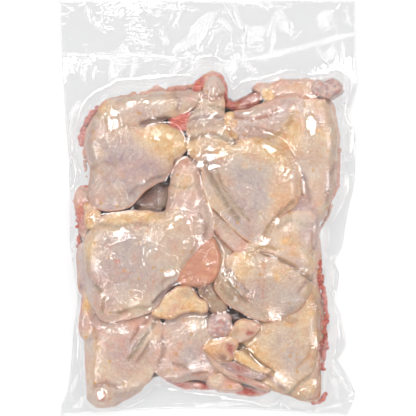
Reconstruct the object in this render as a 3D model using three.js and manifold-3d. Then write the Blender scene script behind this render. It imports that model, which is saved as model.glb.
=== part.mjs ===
// A clear vacuum pouch packed with raw chicken leg quarters, lying flat on its back film.
// Millimetres, +Z up. The origin is on the surface the pouch lies on, under the middle of the pouch.
// +X is the pouch's right-hand side and +Y its sealed mouth, as it is looked down on.
//
// The pouch is one closed solid: the front film, drawn down over the leg quarters, and the back film,
// pressed flat under them. The two films meet all round in a thin wavy flange.
// Each leg quarter is a handful of pads (thigh muscles, fat, skin lobes) and a tapered shank (drumstick).
// The front film takes the height of whichever pad is the highest at a point, and leaves each pad
// along a steep straight skirt, as shrunk film does, so that it bridges the gaps between the legs.
import * as THREE from "three";
import { mergeGeometries, mergeVertices } from "three/addons/utils/BufferGeometryUtils.js";
import Module from "manifold-3d";

// Pouch
const POUCH_WIDTH = 398;
const POUCH_LENGTH = 555;
const FLANGE_THICKNESS = 1.6; // both films together where they lie on each other
const FLANGE_LIFT = 5; // the flange's middle above the surface, along the two ends
const SIDE_LIFT = 7; // how much higher the flange stands along the two long sides
const FLANGE_WAVE = 1.4; // height of the waves in the flange
const FLANGE_TAPER = 14; // width over which the pouch thins out to its welded edge
const SLAB_THICKNESS = 20; // of the surface it lies on, which its underside is cut level with

// Film over the meat
const SKIRT_SLOPE = 2.2; // fall of the film as it leaves a pad, height over distance
const FILM_ROUNDING = 4; // how softly the film turns from one pad to the next
const BACK_RISE = 16; // meat depth at which the back film is pressed flat on the surface

// Mesh: columns and rows of the two films, fine over the meat and coarse in the empty margins
const SIDE_COLUMNS = 2;
const MEAT_COLUMNS = 58;
const END_ROWS = 2;
const MEAT_ROWS = 66;
const MOUTH_ROWS = 5;
const MEAT_LEFT = -184;
const MEAT_RIGHT = 184;
const MEAT_FOOT = -264;
const MEAT_HEAD = 184;

// The welded long edges. Each is drawn in from the full width by these amounts at these heights.
const LEFT_DRAWN_IN = [
  [278, 0], [225, 1], [185, 4], [118, 8], [55, 13], [-45, 14], [-82, 18],
  [-121, 23], [-160, 19], [-214, 15], [-246, 10], [-262, 2], [-278, 1],
];
const RIGHT_DRAWN_IN = [
  [278, 3], [180, 1], [165, 0], [140, 6], [88, 3], [30, 5], [0, 12], [-50, 20],
  [-110, 26], [-150, 21], [-185, 15], [-215, 15], [-248, 6], [-264, 3], [-278, 14],
];
// Sharp tucks where the flange of the right-hand side is pulled in by a fold.
const RIGHT_TUCKS = [
  { at: 122, depth: 8, halfWidth: 16 },
  { at: -71, depth: 9, halfWidth: 16 },
  { at: -124, depth: 7, halfWidth: 18 },
  { at: -203, depth: 12, halfWidth: 18 },
];
// The foot of the pouch is bowed up in the middle.
const FOOT_BOW = 10;

// x, y: middle; length, width: half axes; turn: degrees; level: height of its middle; rise: half thickness
const pad = (x, y, length, width, turn, level, rise) => ({ x, y, length, width, turn, level, rise });
// A shank runs from its thick end (x, y, radius) to its thin end (toX, toY, toRadius).
const shank = (x, y, radius, toX, toY, toRadius, level, rise) =>
  ({ x, y, radius, toX, toY, toRadius, level, rise });

// The lower layer, which the upper one lies on.
const LOWER_LAYER = [
  pad(-116, 65, 48, 64, 0, 13, 12),
  pad(-116, -56, 56, 78, 0, 13, 12),
  pad(-105, -179, 60, 60, 0, 14, 12),
  pad(-17, 51, 62, 80, 0, 13, 12),
  pad(-18, -76, 62, 80, 0, 13, 12),
  pad(-5, -176, 68, 52, 0, 13, 12),
  pad(103, 65, 59, 70, 0, 13, 12),
  pad(96, -56, 56, 80, 0, 13, 12),
  pad(103, -177, 51, 59, 0, 12, 11),
];

const LEG_QUARTERS = {
  topLeft: [
    pad(-121, 83, 47, 50, 0, 34, 20),
    pad(-65, 85, 38, 32, 0, 34, 19),
    pad(-82, 54, 46, 31, 28, 32, 18),
    pad(-123, 32, 42, 38, -10, 30, 18),
    pad(-128, 121, 34, 25, 20, 32, 16),
    shank(-105, 129, 27, -21, 146, 15, 34, 17),
  ],
  topCentre: [
    pad(56, 59, 67, 48, -18, 38, 19),
    pad(7, 75, 38, 35, 0, 36, 18),
    pad(66, -5, 32, 47, 10, 36, 16),
    pad(34, 16, 56, 25, -54, 34, 14),
    pad(100, 27, 25, 40, 0, 36, 16),
    shank(-2, 113, 29, 1, 166, 13, 34, 17),
  ],
  topRight: [
    pad(139, 89, 38, 62, 0, 28, 19),
    pad(147, 28, 27, 52, -8, 24, 18),
    shank(101, 122, 29, 37, 116, 15, 30, 17),
  ],
  backTop: [
    pad(57, 145, 28, 15, 25, 20, 13),
    pad(107, 156, 43, 16, 3, 20, 13),
    pad(152, 158, 16, 12, -10, 19, 12),
    pad(168, 160, 16, 13, 35, 19, 12),
  ],
  middleLeft: [
    pad(-105, -72, 64, 62, 0, 38, 20),
    pad(-49, -53, 56, 50, 20, 38, 20),
    pad(-128, -123, 24, 31, -30, 36, 16),
    pad(-97, -112, 40, 29, 15, 36, 16),
    shank(-30, -18, 36, -30, 46, 17, 40, 17),
  ],
  middleCentre: [
    pad(-6, -75, 24, 32, -20, 34, 13),
    pad(-36, -119, 34, 16, 8, 27, 14),
    pad(-76, 7, 32, 24, 0, 16, 13),
    shank(0, 12, 13, 47, -40, 14, 30, 12),
    shank(-4, -6, 13, 34, -50, 12, 26, 12),
  ],
  middleRight: [
    pad(109, -40, 38, 34, 0, 32, 16),
    pad(90, -106, 52, 50, 0, 32, 20),
    pad(52, -85, 29, 38, 0, 30, 16),
    pad(30, -104, 13, 23, 40, 32, 16),
  ],
  bottomCentre: [
    pad(-15, -179, 51, 46, 0, 24, 19),
    pad(18, -206, 38, 27, -20, 22, 15),
    shank(21, -128, 12, 15, -152, 17, 30, 13),
    shank(-58, -221, 12, 58, -244, 8, 12, 9),
  ],
  bottomLeft: [
    pad(-109, -181, 52, 42, 0, 26, 19),
    pad(-113, -219, 46, 32, 25, 24, 16),
    shank(-135, -201, 29, -141, -252, 15, 24, 17),
  ],
  bottomRight: [
    pad(101, -183, 56, 56, 0, 26, 19),
    pad(123, -236, 29, 27, -20, 22, 15),
    pad(133, -127, 21, 38, 0, 24, 15),
    pad(50, -156, 23, 12, -8, 25, 13),
    pad(14, -189, 23, 15, -15, 26, 13),
    pad(52, -205, 19, 11, -35, 24, 12),
    shank(144, -170, 17, 145, -249, 12, 20, 14),
    shank(10, -199, 8, 80, -244, 9, 22, 12),
  ],
  leftEdge: [
    pad(-164, -6, 16, 38, 5, 20, 13),
    pad(-165, -80, 11, 35, 0, 18, 11),
    pad(-158, -139, 12, 35, -5, 18, 13),
  ],
  rightEdge: [shank(149, -80, 9, 156, -170, 11, 16, 12)],
};

const smoothStep = (t) => {
  const s = THREE.MathUtils.clamp(t, 0, 1);
  return s * s * (3 - 2 * s);
};

// The higher of two heights, rounded where they cross.
function softHigher(a, b, rounding) {
  const near = Math.max(rounding - Math.abs(a - b), 0) / rounding;
  return Math.max(a, b) + near * near * rounding * 0.25;
}

// Height of the film over a domed pad, at distance `away` from its middle, `reach` being the pad's rim
// in that direction: the dome itself, then the straight skirt from where the dome is as steep.
function domeHeight(away, reach, level, rise) {
  const leaves = 1 / Math.sqrt(1 + (rise / (reach * SKIRT_SLOPE)) ** 2);
  const share = away / reach;
  if (share < leaves) return level + rise * Math.sqrt(1 - share * share);
  return level + rise * Math.sqrt(1 - leaves * leaves) - SKIRT_SLOPE * (away - leaves * reach);
}

function padHeight(p, x, y) {
  const turn = THREE.MathUtils.degToRad(p.turn);
  const along = (x - p.x) * Math.cos(turn) + (y - p.y) * Math.sin(turn);
  const across = (y - p.y) * Math.cos(turn) - (x - p.x) * Math.sin(turn);
  const away = Math.hypot(along, across);
  const share = Math.hypot(along / p.length, across / p.width);
  return domeHeight(away, share > 0 ? away / share : p.length, p.level, p.rise);
}

function shankHeight(s, x, y) {
  const run = new THREE.Vector2(s.toX - s.x, s.toY - s.y);
  const from = new THREE.Vector2(x - s.x, y - s.y);
  const t = THREE.MathUtils.clamp(from.dot(run) / run.lengthSq(), 0, 1);
  const radius = THREE.MathUtils.lerp(s.radius, s.toRadius, t);
  const away = from.sub(run.multiplyScalar(t)).length();
  return domeHeight(away, radius, s.level, (s.rise * radius) / Math.max(s.radius, s.toRadius));
}

const bumps = [...LOWER_LAYER, ...Object.values(LEG_QUARTERS).flat()];
const bumpHeight = (b, x, y) => ("toX" in b ? shankHeight(b, x, y) : padHeight(b, x, y));

const drawnIn = {
  left: new THREE.CatmullRomCurve3(LEFT_DRAWN_IN.map(([y, d]) => new THREE.Vector3(d, y, 0))),
  right: new THREE.CatmullRomCurve3(RIGHT_DRAWN_IN.map(([y, d]) => new THREE.Vector3(d, y, 0))),
};

// How far a side is drawn in at height y, by bisection along its smooth curve.
function drawIn(side, y) {
  let [low, high] = [0, 1];
  for (let i = 0; i < 24; i++) {
    const middle = (low + high) / 2;
    if (drawnIn[side].getPoint(middle).y > y) low = middle;
    else high = middle;
  }
  return Math.max(drawnIn[side].getPoint(low).x, 0);
}

const tuckDepth = (tuck, y) => tuck.depth * Math.max(0, 1 - Math.abs(y - tuck.at) / tuck.halfWidth);

const leftEdge = (y) => -POUCH_WIDTH / 2 + drawIn("left", y);
const rightEdge = (y) =>
  POUCH_WIDTH / 2 - drawIn("right", y) - RIGHT_TUCKS.reduce((sum, t) => sum + tuckDepth(t, y), 0);

// Middle height of the flange, and the heights of the two films, at a point of the pouch.
function flangeHeight(x, y) {
  const side = Math.abs(x) / (POUCH_WIDTH / 2);
  const meatSpan = smoothStep((MEAT_HEAD + 20 - y) / 40) * smoothStep((y - MEAT_FOOT + 10) / 40);
  const wave = Math.sin(x / 31 + y / 57) * Math.cos(y / 39 - x / 73);
  return FLANGE_LIFT + SIDE_LIFT * meatSpan * side ** 4 + FLANGE_WAVE * wave;
}

function filmHeights(x, y, edgeDistance) {
  const flange = flangeHeight(x, y);
  const top = bumps.reduce((h, b) => softHigher(h, bumpHeight(b, x, y), FILM_ROUNDING), flange);
  const opened = smoothStep(edgeDistance / FLANGE_TAPER);
  const front = flange + (top - flange + FLANGE_THICKNESS / 2) * opened;
  const back = (flange - (FLANGE_THICKNESS / 2) * opened) * (1 - smoothStep((top - flange) / BACK_RISE));
  return { front, back };
}

// Stations across a span, a few in each margin and the rest even over the meat.
function stations(low, meatLow, meatHigh, high, before, over, after) {
  const lines = [];
  for (let i = 0; i < before; i++) lines.push(THREE.MathUtils.lerp(low, meatLow, i / before));
  for (let i = 0; i < over; i++) lines.push(THREE.MathUtils.lerp(meatLow, meatHigh, i / over));
  for (let i = 0; i <= after; i++) lines.push(THREE.MathUtils.lerp(meatHigh, high, i / after));
  return lines;
}

const columns = stations(
  -POUCH_WIDTH / 2, MEAT_LEFT, MEAT_RIGHT, POUCH_WIDTH / 2, SIDE_COLUMNS, MEAT_COLUMNS, SIDE_COLUMNS,
);
const rows = stations(
  -POUCH_LENGTH / 2, MEAT_FOOT, MEAT_HEAD, POUCH_LENGTH / 2, END_ROWS, MEAT_ROWS, MOUTH_ROWS,
);

// A point of the flat pouch, moved to lie between its welded edges.
function pouchPoint(column, row) {
  const across = (columns[column] + POUCH_WIDTH / 2) / POUCH_WIDTH;
  const fromFoot = (rows[row] + POUCH_LENGTH / 2) / POUCH_LENGTH;
  const bow = FOOT_BOW * Math.sin(Math.PI * across) * (1 - fromFoot) ** 3;
  const y = rows[row] + bow;
  const x = THREE.MathUtils.lerp(leftEdge(rows[row]), rightEdge(rows[row]), across);
  const footEdge = -POUCH_LENGTH / 2 + FOOT_BOW * Math.sin(Math.PI * across);
  const edgeDistance = Math.min(
    x - leftEdge(rows[row]), rightEdge(rows[row]) - x, y - footEdge, POUCH_LENGTH / 2 - y,
  );
  return { x, y, edgeDistance };
}

const onWeld = (column, row) =>
  column === 0 || row === 0 || column === columns.length - 1 || row === rows.length - 1;

function vertexPlace(side, column, row) {
  const { x, y, edgeDistance } = pouchPoint(column, row);
  if (onWeld(column, row)) return new THREE.Vector3(x, y, flangeHeight(x, y));
  return new THREE.Vector3(x, y, Math.max(filmHeights(x, y, edgeDistance)[side], 0));
}

// Whether a cell is cut in two from its upper left, rather than from its upper right: whichever cut lies
// nearer to the front film at the cell's middle. A cell in a corner is cut through that corner, because
// the other cut would leave a triangle wholly on the weld.
function cutFromUpperLeft(column, row) {
  const atSide = column === 0 || column === columns.length - 2;
  const atEnd = row === 0 || row === rows.length - 2;
  if (atSide && atEnd) return (column === 0) !== (row === 0);
  const height = (acrossStep, alongStep) => vertexPlace("front", column + acrossStep, row + alongStep).z;
  const corners = [pouchPoint(column, row), pouchPoint(column + 1, row + 1)];
  const [x, y, edgeDistance] = ["x", "y", "edgeDistance"].map((k) => (corners[0][k] + corners[1][k]) / 2);
  const middle = filmHeights(x, y, edgeDistance).front;
  const fromUpperLeft = Math.abs((height(0, 1) + height(1, 0)) / 2 - middle);
  const fromUpperRight = Math.abs((height(1, 1) + height(0, 0)) / 2 - middle);
  return fromUpperLeft < fromUpperRight;
}

// One film of the pouch as a sheet of triangles facing up.
function film(side) {
  const sheet = new THREE.PlaneGeometry(1, 1, columns.length - 1, rows.length - 1);
  const place = sheet.getAttribute("position");
  const index = sheet.getIndex();
  for (let row = 0; row < rows.length; row++) {
    const fromTop = rows.length - 1 - row;
    for (let column = 0; column < columns.length; column++) {
      place.setXYZ(fromTop * columns.length + column, ...vertexPlace(side, column, row));
    }
  }
  for (let row = 0; row < rows.length - 1; row++) {
    for (let column = 0; column < columns.length - 1; column++) {
      if (!cutFromUpperLeft(column, row)) continue;
      const upperLeft = (rows.length - 2 - row) * columns.length + column;
      const lowerLeft = upperLeft + columns.length;
      const cut = [upperLeft, lowerLeft, lowerLeft + 1, upperLeft, lowerLeft + 1, upperLeft + 1];
      const cell = (rows.length - 2 - row) * (columns.length - 1) + column;
      cut.forEach((vertex, i) => index.setX(cell * 6 + i, vertex));
    }
  }
  sheet.deleteAttribute("uv");
  sheet.deleteAttribute("normal");
  return sheet;
}

// The same sheet with its triangles turned to face down.
function facingDown(sheet) {
  const index = sheet.getIndex();
  for (let i = 0; i < index.count; i += 3) {
    const second = index.getX(i + 1);
    index.setX(i + 1, index.getX(i + 2));
    index.setX(i + 2, second);
  }
  return sheet;
}

const wasm = await Module();
wasm.setup();

function asSolid(geometry) {
  return new wasm.Manifold(new wasm.Mesh({
    numProp: 3,
    vertProperties: new Float32Array(geometry.getAttribute("position").array),
    triVerts: new Uint32Array(geometry.getIndex().array),
  }));
}

// What the pouch lies on, up to height 0. Cutting it away leaves the pressed underside as one flat face.
function restingSurface() {
  const slab = new THREE.BoxGeometry(POUCH_WIDTH * 1.5, POUCH_LENGTH * 1.5, SLAB_THICKNESS);
  slab.translate(0, 0, -SLAB_THICKNESS / 2);
  slab.deleteAttribute("uv");
  slab.deleteAttribute("normal");
  return asSolid(mergeVertices(slab));
}

const films = mergeVertices(mergeGeometries([film("front"), facingDown(film("back"))]), 1e-3);
const cutLevel = asSolid(films).subtract(restingSurface()).getMesh();
const pouchShape = new THREE.BufferGeometry();
pouchShape.setAttribute("position", new THREE.BufferAttribute(cutLevel.vertProperties, cutLevel.numProp));
pouchShape.setIndex(new THREE.BufferAttribute(cutLevel.triVerts, 1));
pouchShape.computeVertexNormals();

const filmOverSkin = new THREE.MeshStandardMaterial({ color: 0xdcc0aa, roughness: 0.25, metalness: 0 });

const pouch = new THREE.Mesh(pouchShape, filmOverSkin);
pouch.name = "pouch";

const part = new THREE.Group();
part.add(pouch);

export default part;
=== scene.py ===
# A clear vacuum pouch packed with raw chicken leg quarters, lying flat and seen from straight above.
# Places and sizes in the dictionaries are millimetres on the pouch: x to its right, y to its sealed mouth,
# level and rise up from the surface it lies on.
import math
import random

import bmesh
import bpy
import numpy as np
from mathutils import Matrix, Vector, noise
from mathutils.bvhtree import BVHTree


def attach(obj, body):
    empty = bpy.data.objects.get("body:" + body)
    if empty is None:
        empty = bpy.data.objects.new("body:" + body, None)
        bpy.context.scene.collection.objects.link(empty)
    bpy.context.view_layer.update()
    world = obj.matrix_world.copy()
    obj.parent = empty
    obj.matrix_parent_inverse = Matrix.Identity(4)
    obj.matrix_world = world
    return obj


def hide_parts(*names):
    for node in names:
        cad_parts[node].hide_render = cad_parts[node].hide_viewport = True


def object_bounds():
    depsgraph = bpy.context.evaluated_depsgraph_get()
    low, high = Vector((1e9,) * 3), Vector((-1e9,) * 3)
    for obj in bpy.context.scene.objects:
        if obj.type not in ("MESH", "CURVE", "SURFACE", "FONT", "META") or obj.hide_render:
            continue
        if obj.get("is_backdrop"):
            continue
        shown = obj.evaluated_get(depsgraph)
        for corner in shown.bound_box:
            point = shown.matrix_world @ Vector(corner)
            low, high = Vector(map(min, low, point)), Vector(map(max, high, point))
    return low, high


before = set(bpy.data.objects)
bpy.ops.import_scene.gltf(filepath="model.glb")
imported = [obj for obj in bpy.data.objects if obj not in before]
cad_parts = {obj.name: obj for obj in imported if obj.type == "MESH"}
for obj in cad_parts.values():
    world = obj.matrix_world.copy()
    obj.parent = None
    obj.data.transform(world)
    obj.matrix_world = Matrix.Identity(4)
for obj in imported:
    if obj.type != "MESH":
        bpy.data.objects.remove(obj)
cadLow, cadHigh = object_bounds()
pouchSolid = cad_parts["pouch"]
mm = 0.001

# ---- meat: what the legs are made of ----

# share of fat, thin grey skin, raw flesh, and blood with painted shade in the colour of a place; olive and blood carry
# painted shade in their last share
tones = dict(
    plain=(0.12, 0.15, 0.0, 0.0),
    cream=(0.35, 0.05, 0.0, 0.0),
    fat=(0.8, 0.0, 0.0, 0.0),
    deepFat=(1.0, 0.0, 0.12, 0.0),
    # olive: greenish grey skin with painted shade, for hollows and pieces lying low
    shadedOlive=(0.45, 0.6, 0.0, 0.4),
    grey=(0.0, 0.85, 0.0, 0.0),
    greenGrey=(0.35, 0.6, 0.0, 0.05),
    lilac=(0.0, 1.0, 0.12, 0.0),
    pink=(0.05, 0.1, 0.22, 0.0),
    peach=(0.6, 0.0, 0.2, 0.0),
    flesh=(0.3, 0.0, 0.5, 0.0),
    red=(0.0, 0.0, 1.0, 0.0),
    darkRed=(0.0, 0.0, 1.0, 0.4),
    bloodAndShade=(0.0, 0.2, 0.5, 0.92),
)


def lobe(x, y, length, width, turn, level, rise, tone="plain"):
    return dict(x=x, y=y, length=length, width=width, turn=turn, level=level, rise=rise, tone=tone)


def shank(x, y, radius, toX, toY, toRadius, level, rise, tone="plain"):
    return dict(x=x, y=y, radius=radius, toX=toX, toY=toY, toRadius=toRadius, level=level, rise=rise, tone=tone)


def groove(route, depth, breadth=3.0, tone="pink"):
    return dict(route=route, depth=depth, breadth=breadth, tone=tone)


def wash(x, y, reach, tone, strength=0.8, stretch=1.0, turn=0.0):
    return dict(x=x, y=y, reach=reach, tone=tone, strength=strength, stretch=stretch, turn=turn)


# The leg quarters of the upper layer: thigh and skin as lobes, drumstick as a tapered shank.
upperLegs = dict(
    topLeftLeg=dict(
        parts=[
            lobe(-121, 83, 47, 50, 0, 34, 20, "grey"), lobe(-65, 86, 38, 31, 0, 34, 19, "fat"),
            lobe(-82, 54, 46, 31, 28, 32, 18, "lilac"), lobe(-123, 32, 42, 38, -10, 30, 18, "grey"),
            lobe(-128, 121, 34, 25, 20, 32, 16, "cream"),
            shank(-108, 124, 25, -26, 142, 17, 34, 17, "plain"),
        ],
        washes=[
            wash(-145, 75, 9, "cream"), wash(-90, 62, 4, "flesh"), wash(-116, 45, 4, "flesh"),
            wash(-52, 72, 18, "fat", 1.0), wash(-62, 100, 22, "fat", 0.9, 1.6, 0), wash(-24, 148, 9, "pink"),
            wash(-92, 122, 13, "lilac", 0.8, 2.0, 10), wash(-60, 38, 12, "shadedOlive", 0.8, 2.2, 25),
            wash(-150, 20, 16, "pink", 0.8), wash(-118, 104, 14, "greenGrey", 0.7, 2.0, 30),
            wash(-110, 62, 22, "lilac", 1.0, 1.4, 0), wash(-82, 46, 18, "lilac", 0.9, 1.6, 20),
            wash(-36, 138, 8, "greenGrey", 0.8),
        ],
        grooves=[
            groove([(-88, 111), (-72, 116), (-56, 117), (-34, 110)], 4.5, 3.5),
            groove([(-156, 52), (-140, 60), (-124, 56)], 1.5), groove([(-150, 128), (-128, 108), (-96, 108)], 1.6, 4, "cream"),
            groove([(-104, 20), (-84, 34), (-62, 40)], 1.8, 3, "lilac"), groove([(-44, 150), (-38, 142), (-40, 128)], 2.0, 3),
        ],
        rim="flesh", rimStrength=0.8, rest=36,
    ),
    topCentreLeg=dict(
        parts=[
            lobe(58, 51, 64, 44, -20, 38, 19, "plain"), lobe(7, 75, 38, 35, 0, 36, 18, "greenGrey"),
            lobe(66, -5, 32, 47, 10, 36, 16, "grey"), lobe(34, 16, 56, 25, -54, 34, 14, "greenGrey"),
            lobe(98, 27, 25, 38, 0, 36, 16, "peach"), shank(-4, 108, 30, 7, 160, 17, 34, 17, "plain"),
        ],
        washes=[
            wash(44, 92, 20, "fat", 1.0, 2.2, -8), wash(86, 72, 18, "fat", 1.0, 1.8, -38),
            wash(-20, 84, 13, "fat", 1.0, 1.6, 80), wash(65, 24, 2.6, "darkRed", 1.0), wash(84, 17, 4, "deepFat"),
            wash(22, 32, 4, "fat"), wash(60, 30, 26, "grey", 0.9), wash(49, 58, 4, "deepFat", 0.6),
            wash(12, 72, 5, "deepFat", 0.9), wash(80, -22, 18, "cream", 0.7), wash(42, -2, 14, "lilac", 0.8, 2.2, -55),
            wash(36, 106, 7, "deepFat", 0.9, 1.8, -60), wash(2, 110, 12, "lilac", 0.7, 2.0, 5),
            wash(-8, 96, 10, "greenGrey", 0.7, 2.0, 20), wash(9, 160, 13, "pink", 0.9), wash(84, -8, 10, "peach", 0.6),
            wash(14, 20, 8, "greenGrey", 0.8, 2.0, -70), wash(40, 40, 16, "grey", 0.8),
        ],
        grooves=[
            groove([(-28, 92), (-8, 97), (12, 98), (34, 88)], 3.2, 3.5, "cream"),
            groove([(-24, 127), (-6, 134), (12, 134), (28, 128)], 2.4, 2.6, "cream"),
            groove([(-28, 116), (-8, 122), (10, 121), (26, 117)], 2.0, 2.6, "lilac"),
            groove([(-26, 106), (-6, 110), (18, 110)], 1.6, 2.4, "cream"),
            groove([(-4, 58), (6, 34), (22, 8), (38, -14)], 3.0, 3, "shadedOlive"),
            groove([(10, 50), (18, 28), (34, 6), (52, -16)], 2.0, 2.6, "shadedOlive"),
            groove([(70, -44), (80, -24), (96, -8), (112, 8)], 1.8, 3, "peach"),
            groove([(-8, 150), (6, 144), (20, 150)], 2.2, 3, "flesh"),
        ],
        rim="peach", rimStrength=0.9, rest=38,
    ),
    topRightLeg=dict(
        parts=[
            lobe(139, 89, 38, 60, 0, 28, 19, "plain"), lobe(147, 28, 25, 50, -6, 24, 18, "plain"),
            shank(101, 119, 28, 34, 111, 16, 30, 17, "grey"),
        ],
        washes=[
            wash(112, 104, 12, "fat", 0.9, 2.0, 75), wash(104, 86, 10, "fat", 1.0, 1.8, -30),
            wash(148, 101, 5, "deepFat", 0.9, 1.8, -30), wash(160, 96, 4, "deepFat", 0.7),
            wash(145, 70, 16, "greenGrey", 0.9), wash(165, 40, 12, "pink", 0.5, 2.5, 85),
            wash(140, -8, 9, "lilac", 0.9, 2.0, -80), wash(84, 138, 7, "pink", 0.9, 2.6, 12),
            wash(112, 132, 12, "lilac", 0.7, 1.6, 0), wash(60, 105, 12, "pink", 0.7, 2.4, 5),
            wash(31, 111, 6, "deepFat", 0.9), wash(164, 110, 12, "cream", 0.7, 2.0, 85),
        ],
        grooves=[
            groove([(80, 92), (98, 100), (110, 116), (112, 134)], 2.0, 3.5, "fat"),
            groove([(34, 122), (56, 118), (78, 122), (94, 132)], 2.4, 2.6, "flesh"),
            groove([(40, 104), (64, 106), (84, 100)], 1.8, 2.6), groove([(128, 140), (130, 118), (136, 96)], 1.0, 2.4, "fat"),
            groove([(124, 44), (132, 26), (134, 4)], 1.8, 3, "lilac"), groove([(172, 60), (160, 40), (158, 10)], 1.6, 3),
        ],
        rim="flesh", rimStrength=0.8, rest=33, spread=1,
    ),
    middleLeftLeg=dict(
        parts=[
            lobe(-108, -66, 60, 56, 0, 38, 20, "grey"), lobe(-60, -48, 60, 42, 52, 38, 20, "plain"),
            lobe(-128, -121, 26, 31, -30, 36, 16, "pink"), lobe(-97, -112, 42, 31, 12, 36, 16, "plain"),
            shank(-34, -16, 36, -30, 46, 17, 40, 17, "pink"),
        ],
        washes=[
            wash(-120, -17, 13, "fat", 1.0, 2.4, 5), wash(-78, -10, 13, "fat", 1.0, 2.4, -8),
            wash(-48, -20, 16, "cream", 1.0), wash(-158, -52, 12, "fat", 0.8, 1.8, 80),
            wash(-121, -69, 2.8, "red", 1.0), wash(-110, -80, 3, "deepFat", 1.0),
            wash(-93, -22, 2.5, "red", 0.9, 3.0, 40), wash(-80, -26, 2.5, "flesh", 0.9, 2.0, 70),
            wash(-31, 34, 12, "fat", 0.7), wash(-40, -104, 8, "lilac", 1.0, 2.4, 42),
            wash(-62, -72, 22, "cream", 0.8), wash(-105, -128, 18, "cream", 0.8, 2.0, 10),
            wash(-31, 60, 7, "flesh", 0.9), wash(-92, -86, 24, "grey", 0.9, 1.6, 20),
            wash(-16, -30, 14, "plain", 0.8), wash(-128, -88, 18, "lilac", 0.6), wash(-138, -122, 15, "lilac", 0.9),
        ],
        grooves=[
            groove([(-146, -20), (-118, -24), (-92, -20), (-66, -24)], 2.0, 3.5, "cream"),
            groove([(-72, -126), (-58, -112), (-42, -100)], 2.6, 3, "lilac"),
            groove([(-150, -104), (-138, -118), (-142, -138)], 2.6, 3, "cream"),
            groove([(-12, -8), (-2, -28), (-6, -44)], 1.8, 3), groove([(-50, 30), (-32, 26), (-14, 30)], 1.6, 2.6, "cream"),
            groove([(-118, -140), (-96, -132), (-76, -134)], 1.8, 3, "cream"),
        ],
        rim="pink", rimStrength=0.9, rest=37, spread=1,
    ),
    middleRightLeg=dict(
        parts=[
            lobe(109, -40, 36, 34, 0, 32, 16, "cream"), lobe(96, -98, 50, 56, -22, 32, 20, "greenGrey"),
            lobe(56, -86, 34, 36, 0, 31, 17, "greenGrey"), lobe(30, -106, 14, 25, 42, 32, 16, "shadedOlive"),
        ],
        washes=[
            wash(102, -43, 5, "deepFat", 1.0), wash(112, -62, 5, "deepFat", 1.0, 1.5, -40),
            wash(98, -54, 3, "deepFat", 1.0), wash(92, -92, 4, "deepFat", 1.0, 1.6, 80),
            wash(72, -74, 4, "deepFat", 0.9), wash(73, -95, 2.4, "peach", 1.0, 8.0, 87),
            wash(72, -112, 2.6, "flesh", 1.0, 2.4, 87), wash(60, -112, 18, "lilac", 0.8),
            wash(104, -122, 20, "grey", 0.8, 1.6, 0), wash(118, -75, 9, "lilac", 0.9, 2.6, -35),
            wash(44, -62, 15, "fat", 1.0), wash(144, -78, 9, "fat", 0.8, 2.6, 80),
            wash(134, -30, 12, "lilac", 0.9, 2.0, 85), wash(96, -68, 14, "cream", 0.7, 1.8, -30),
            wash(36, -90, 10, "fat", 0.8, 1.6, 40),
        ],
        grooves=[
            groove([(70, -58), (86, -64), (104, -72), (122, -84), (140, -97)], 4.0, 3, "peach"),
            groove([(16, -70), (24, -88), (34, -106), (50, -124)], 3.6, 3, "shadedOlive"),
            groove([(73, -66), (74, -90), (71, -118)], 1.0, 2.0, "flesh"), groove([(28, -82), (38, -100), (52, -112)], 2.0, 2.6, "lilac"),
            groove([(120, -110), (132, -96), (144, -88)], 2.0, 2.6), groove([(92, -24), (108, -14), (130, -22)], 1.8, 3, "cream"),
            groove([(56, -60), (74, -50), (92, -56)], 2.2, 3, "fat"),
        ],
        rim="flesh", rimStrength=0.8, rest=35, spread=1,
    ),
    bottomCentreLeg=dict(
        parts=[
            lobe(-17, -177, 44, 44, 0, 24, 19, "grey"), lobe(-50, -190, 24, 28, 20, 21, 15, "pink"),
            lobe(12, -208, 42, 25, -18, 17, 14, "lilac"),
        ],
        washes=[
            wash(-25, -176, 4, "flesh", 0.9), wash(-38, -182, 4, "flesh", 0.8, 2.0, 80),
            wash(-47, -190, 4, "flesh", 0.8), wash(-55, -204, 13, "pink", 1.0, 1.8, -60),
            wash(-20, -156, 20, "greenGrey", 0.9), wash(15, -228, 12, "pink", 0.9, 2.4, -10),
            wash(-10, -190, 16, "lilac", 0.8),
        ],
        grooves=[
            groove([(-66, -166), (-58, -184), (-66, -208)], 2.6, 3, "pink"), groove([(-48, -206), (-28, -212), (-6, -208)], 2.2, 3),
            groove([(0, -150), (10, -166), (8, -182)], 1.8, 3, "lilac"), groove([(-20, -222), (6, -218), (30, -224)], 1.8, 2.6, "flesh"),
        ],
        rim="pink", rimStrength=0.9, rest=30, spread=1.5,
    ),
    bottomLeftLeg=dict(
        parts=[
            lobe(-109, -181, 50, 40, 0, 26, 19, "lilac"), lobe(-113, -219, 46, 32, 25, 24, 16, "grey"),
            shank(-135, -201, 29, -141, -250, 16, 24, 17, "cream"),
        ],
        washes=[
            wash(-148, -184, 4, "deepFat", 1.0, 2.0, 90), wash(-95, -156, 11, "flesh", 0.8, 2.0, -20),
            wash(-80, -178, 14, "cream", 1.0, 2.4, 50), wash(-141, -254, 9, "flesh", 0.8),
            wash(-95, -225, 16, "cream", 0.8, 1.8, 25), wash(-130, -180, 16, "cream", 0.6, 1.6, 85),
            wash(-114, -190, 24, "lilac", 1.0),
        ],
        grooves=[
            groove([(-68, -148), (-80, -164), (-92, -182), (-106, -202)], 3.2, 3, "cream"),
            groove([(-80, -146), (-92, -160), (-102, -176)], 2.4, 2.6, "flesh"), groove([(-76, -176), (-84, -190), (-94, -204)], 2.0, 2.6),
            groove([(-152, -160), (-148, -184), (-150, -208)], 1.6, 3, "peach"), groove([(-150, -236), (-136, -232), (-120, -238)], 2.4, 3),
        ],
        rim="pink", rimStrength=0.9, rest=31, spread=1,
    ),
    bottomRightLeg=dict(
        parts=[
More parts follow.
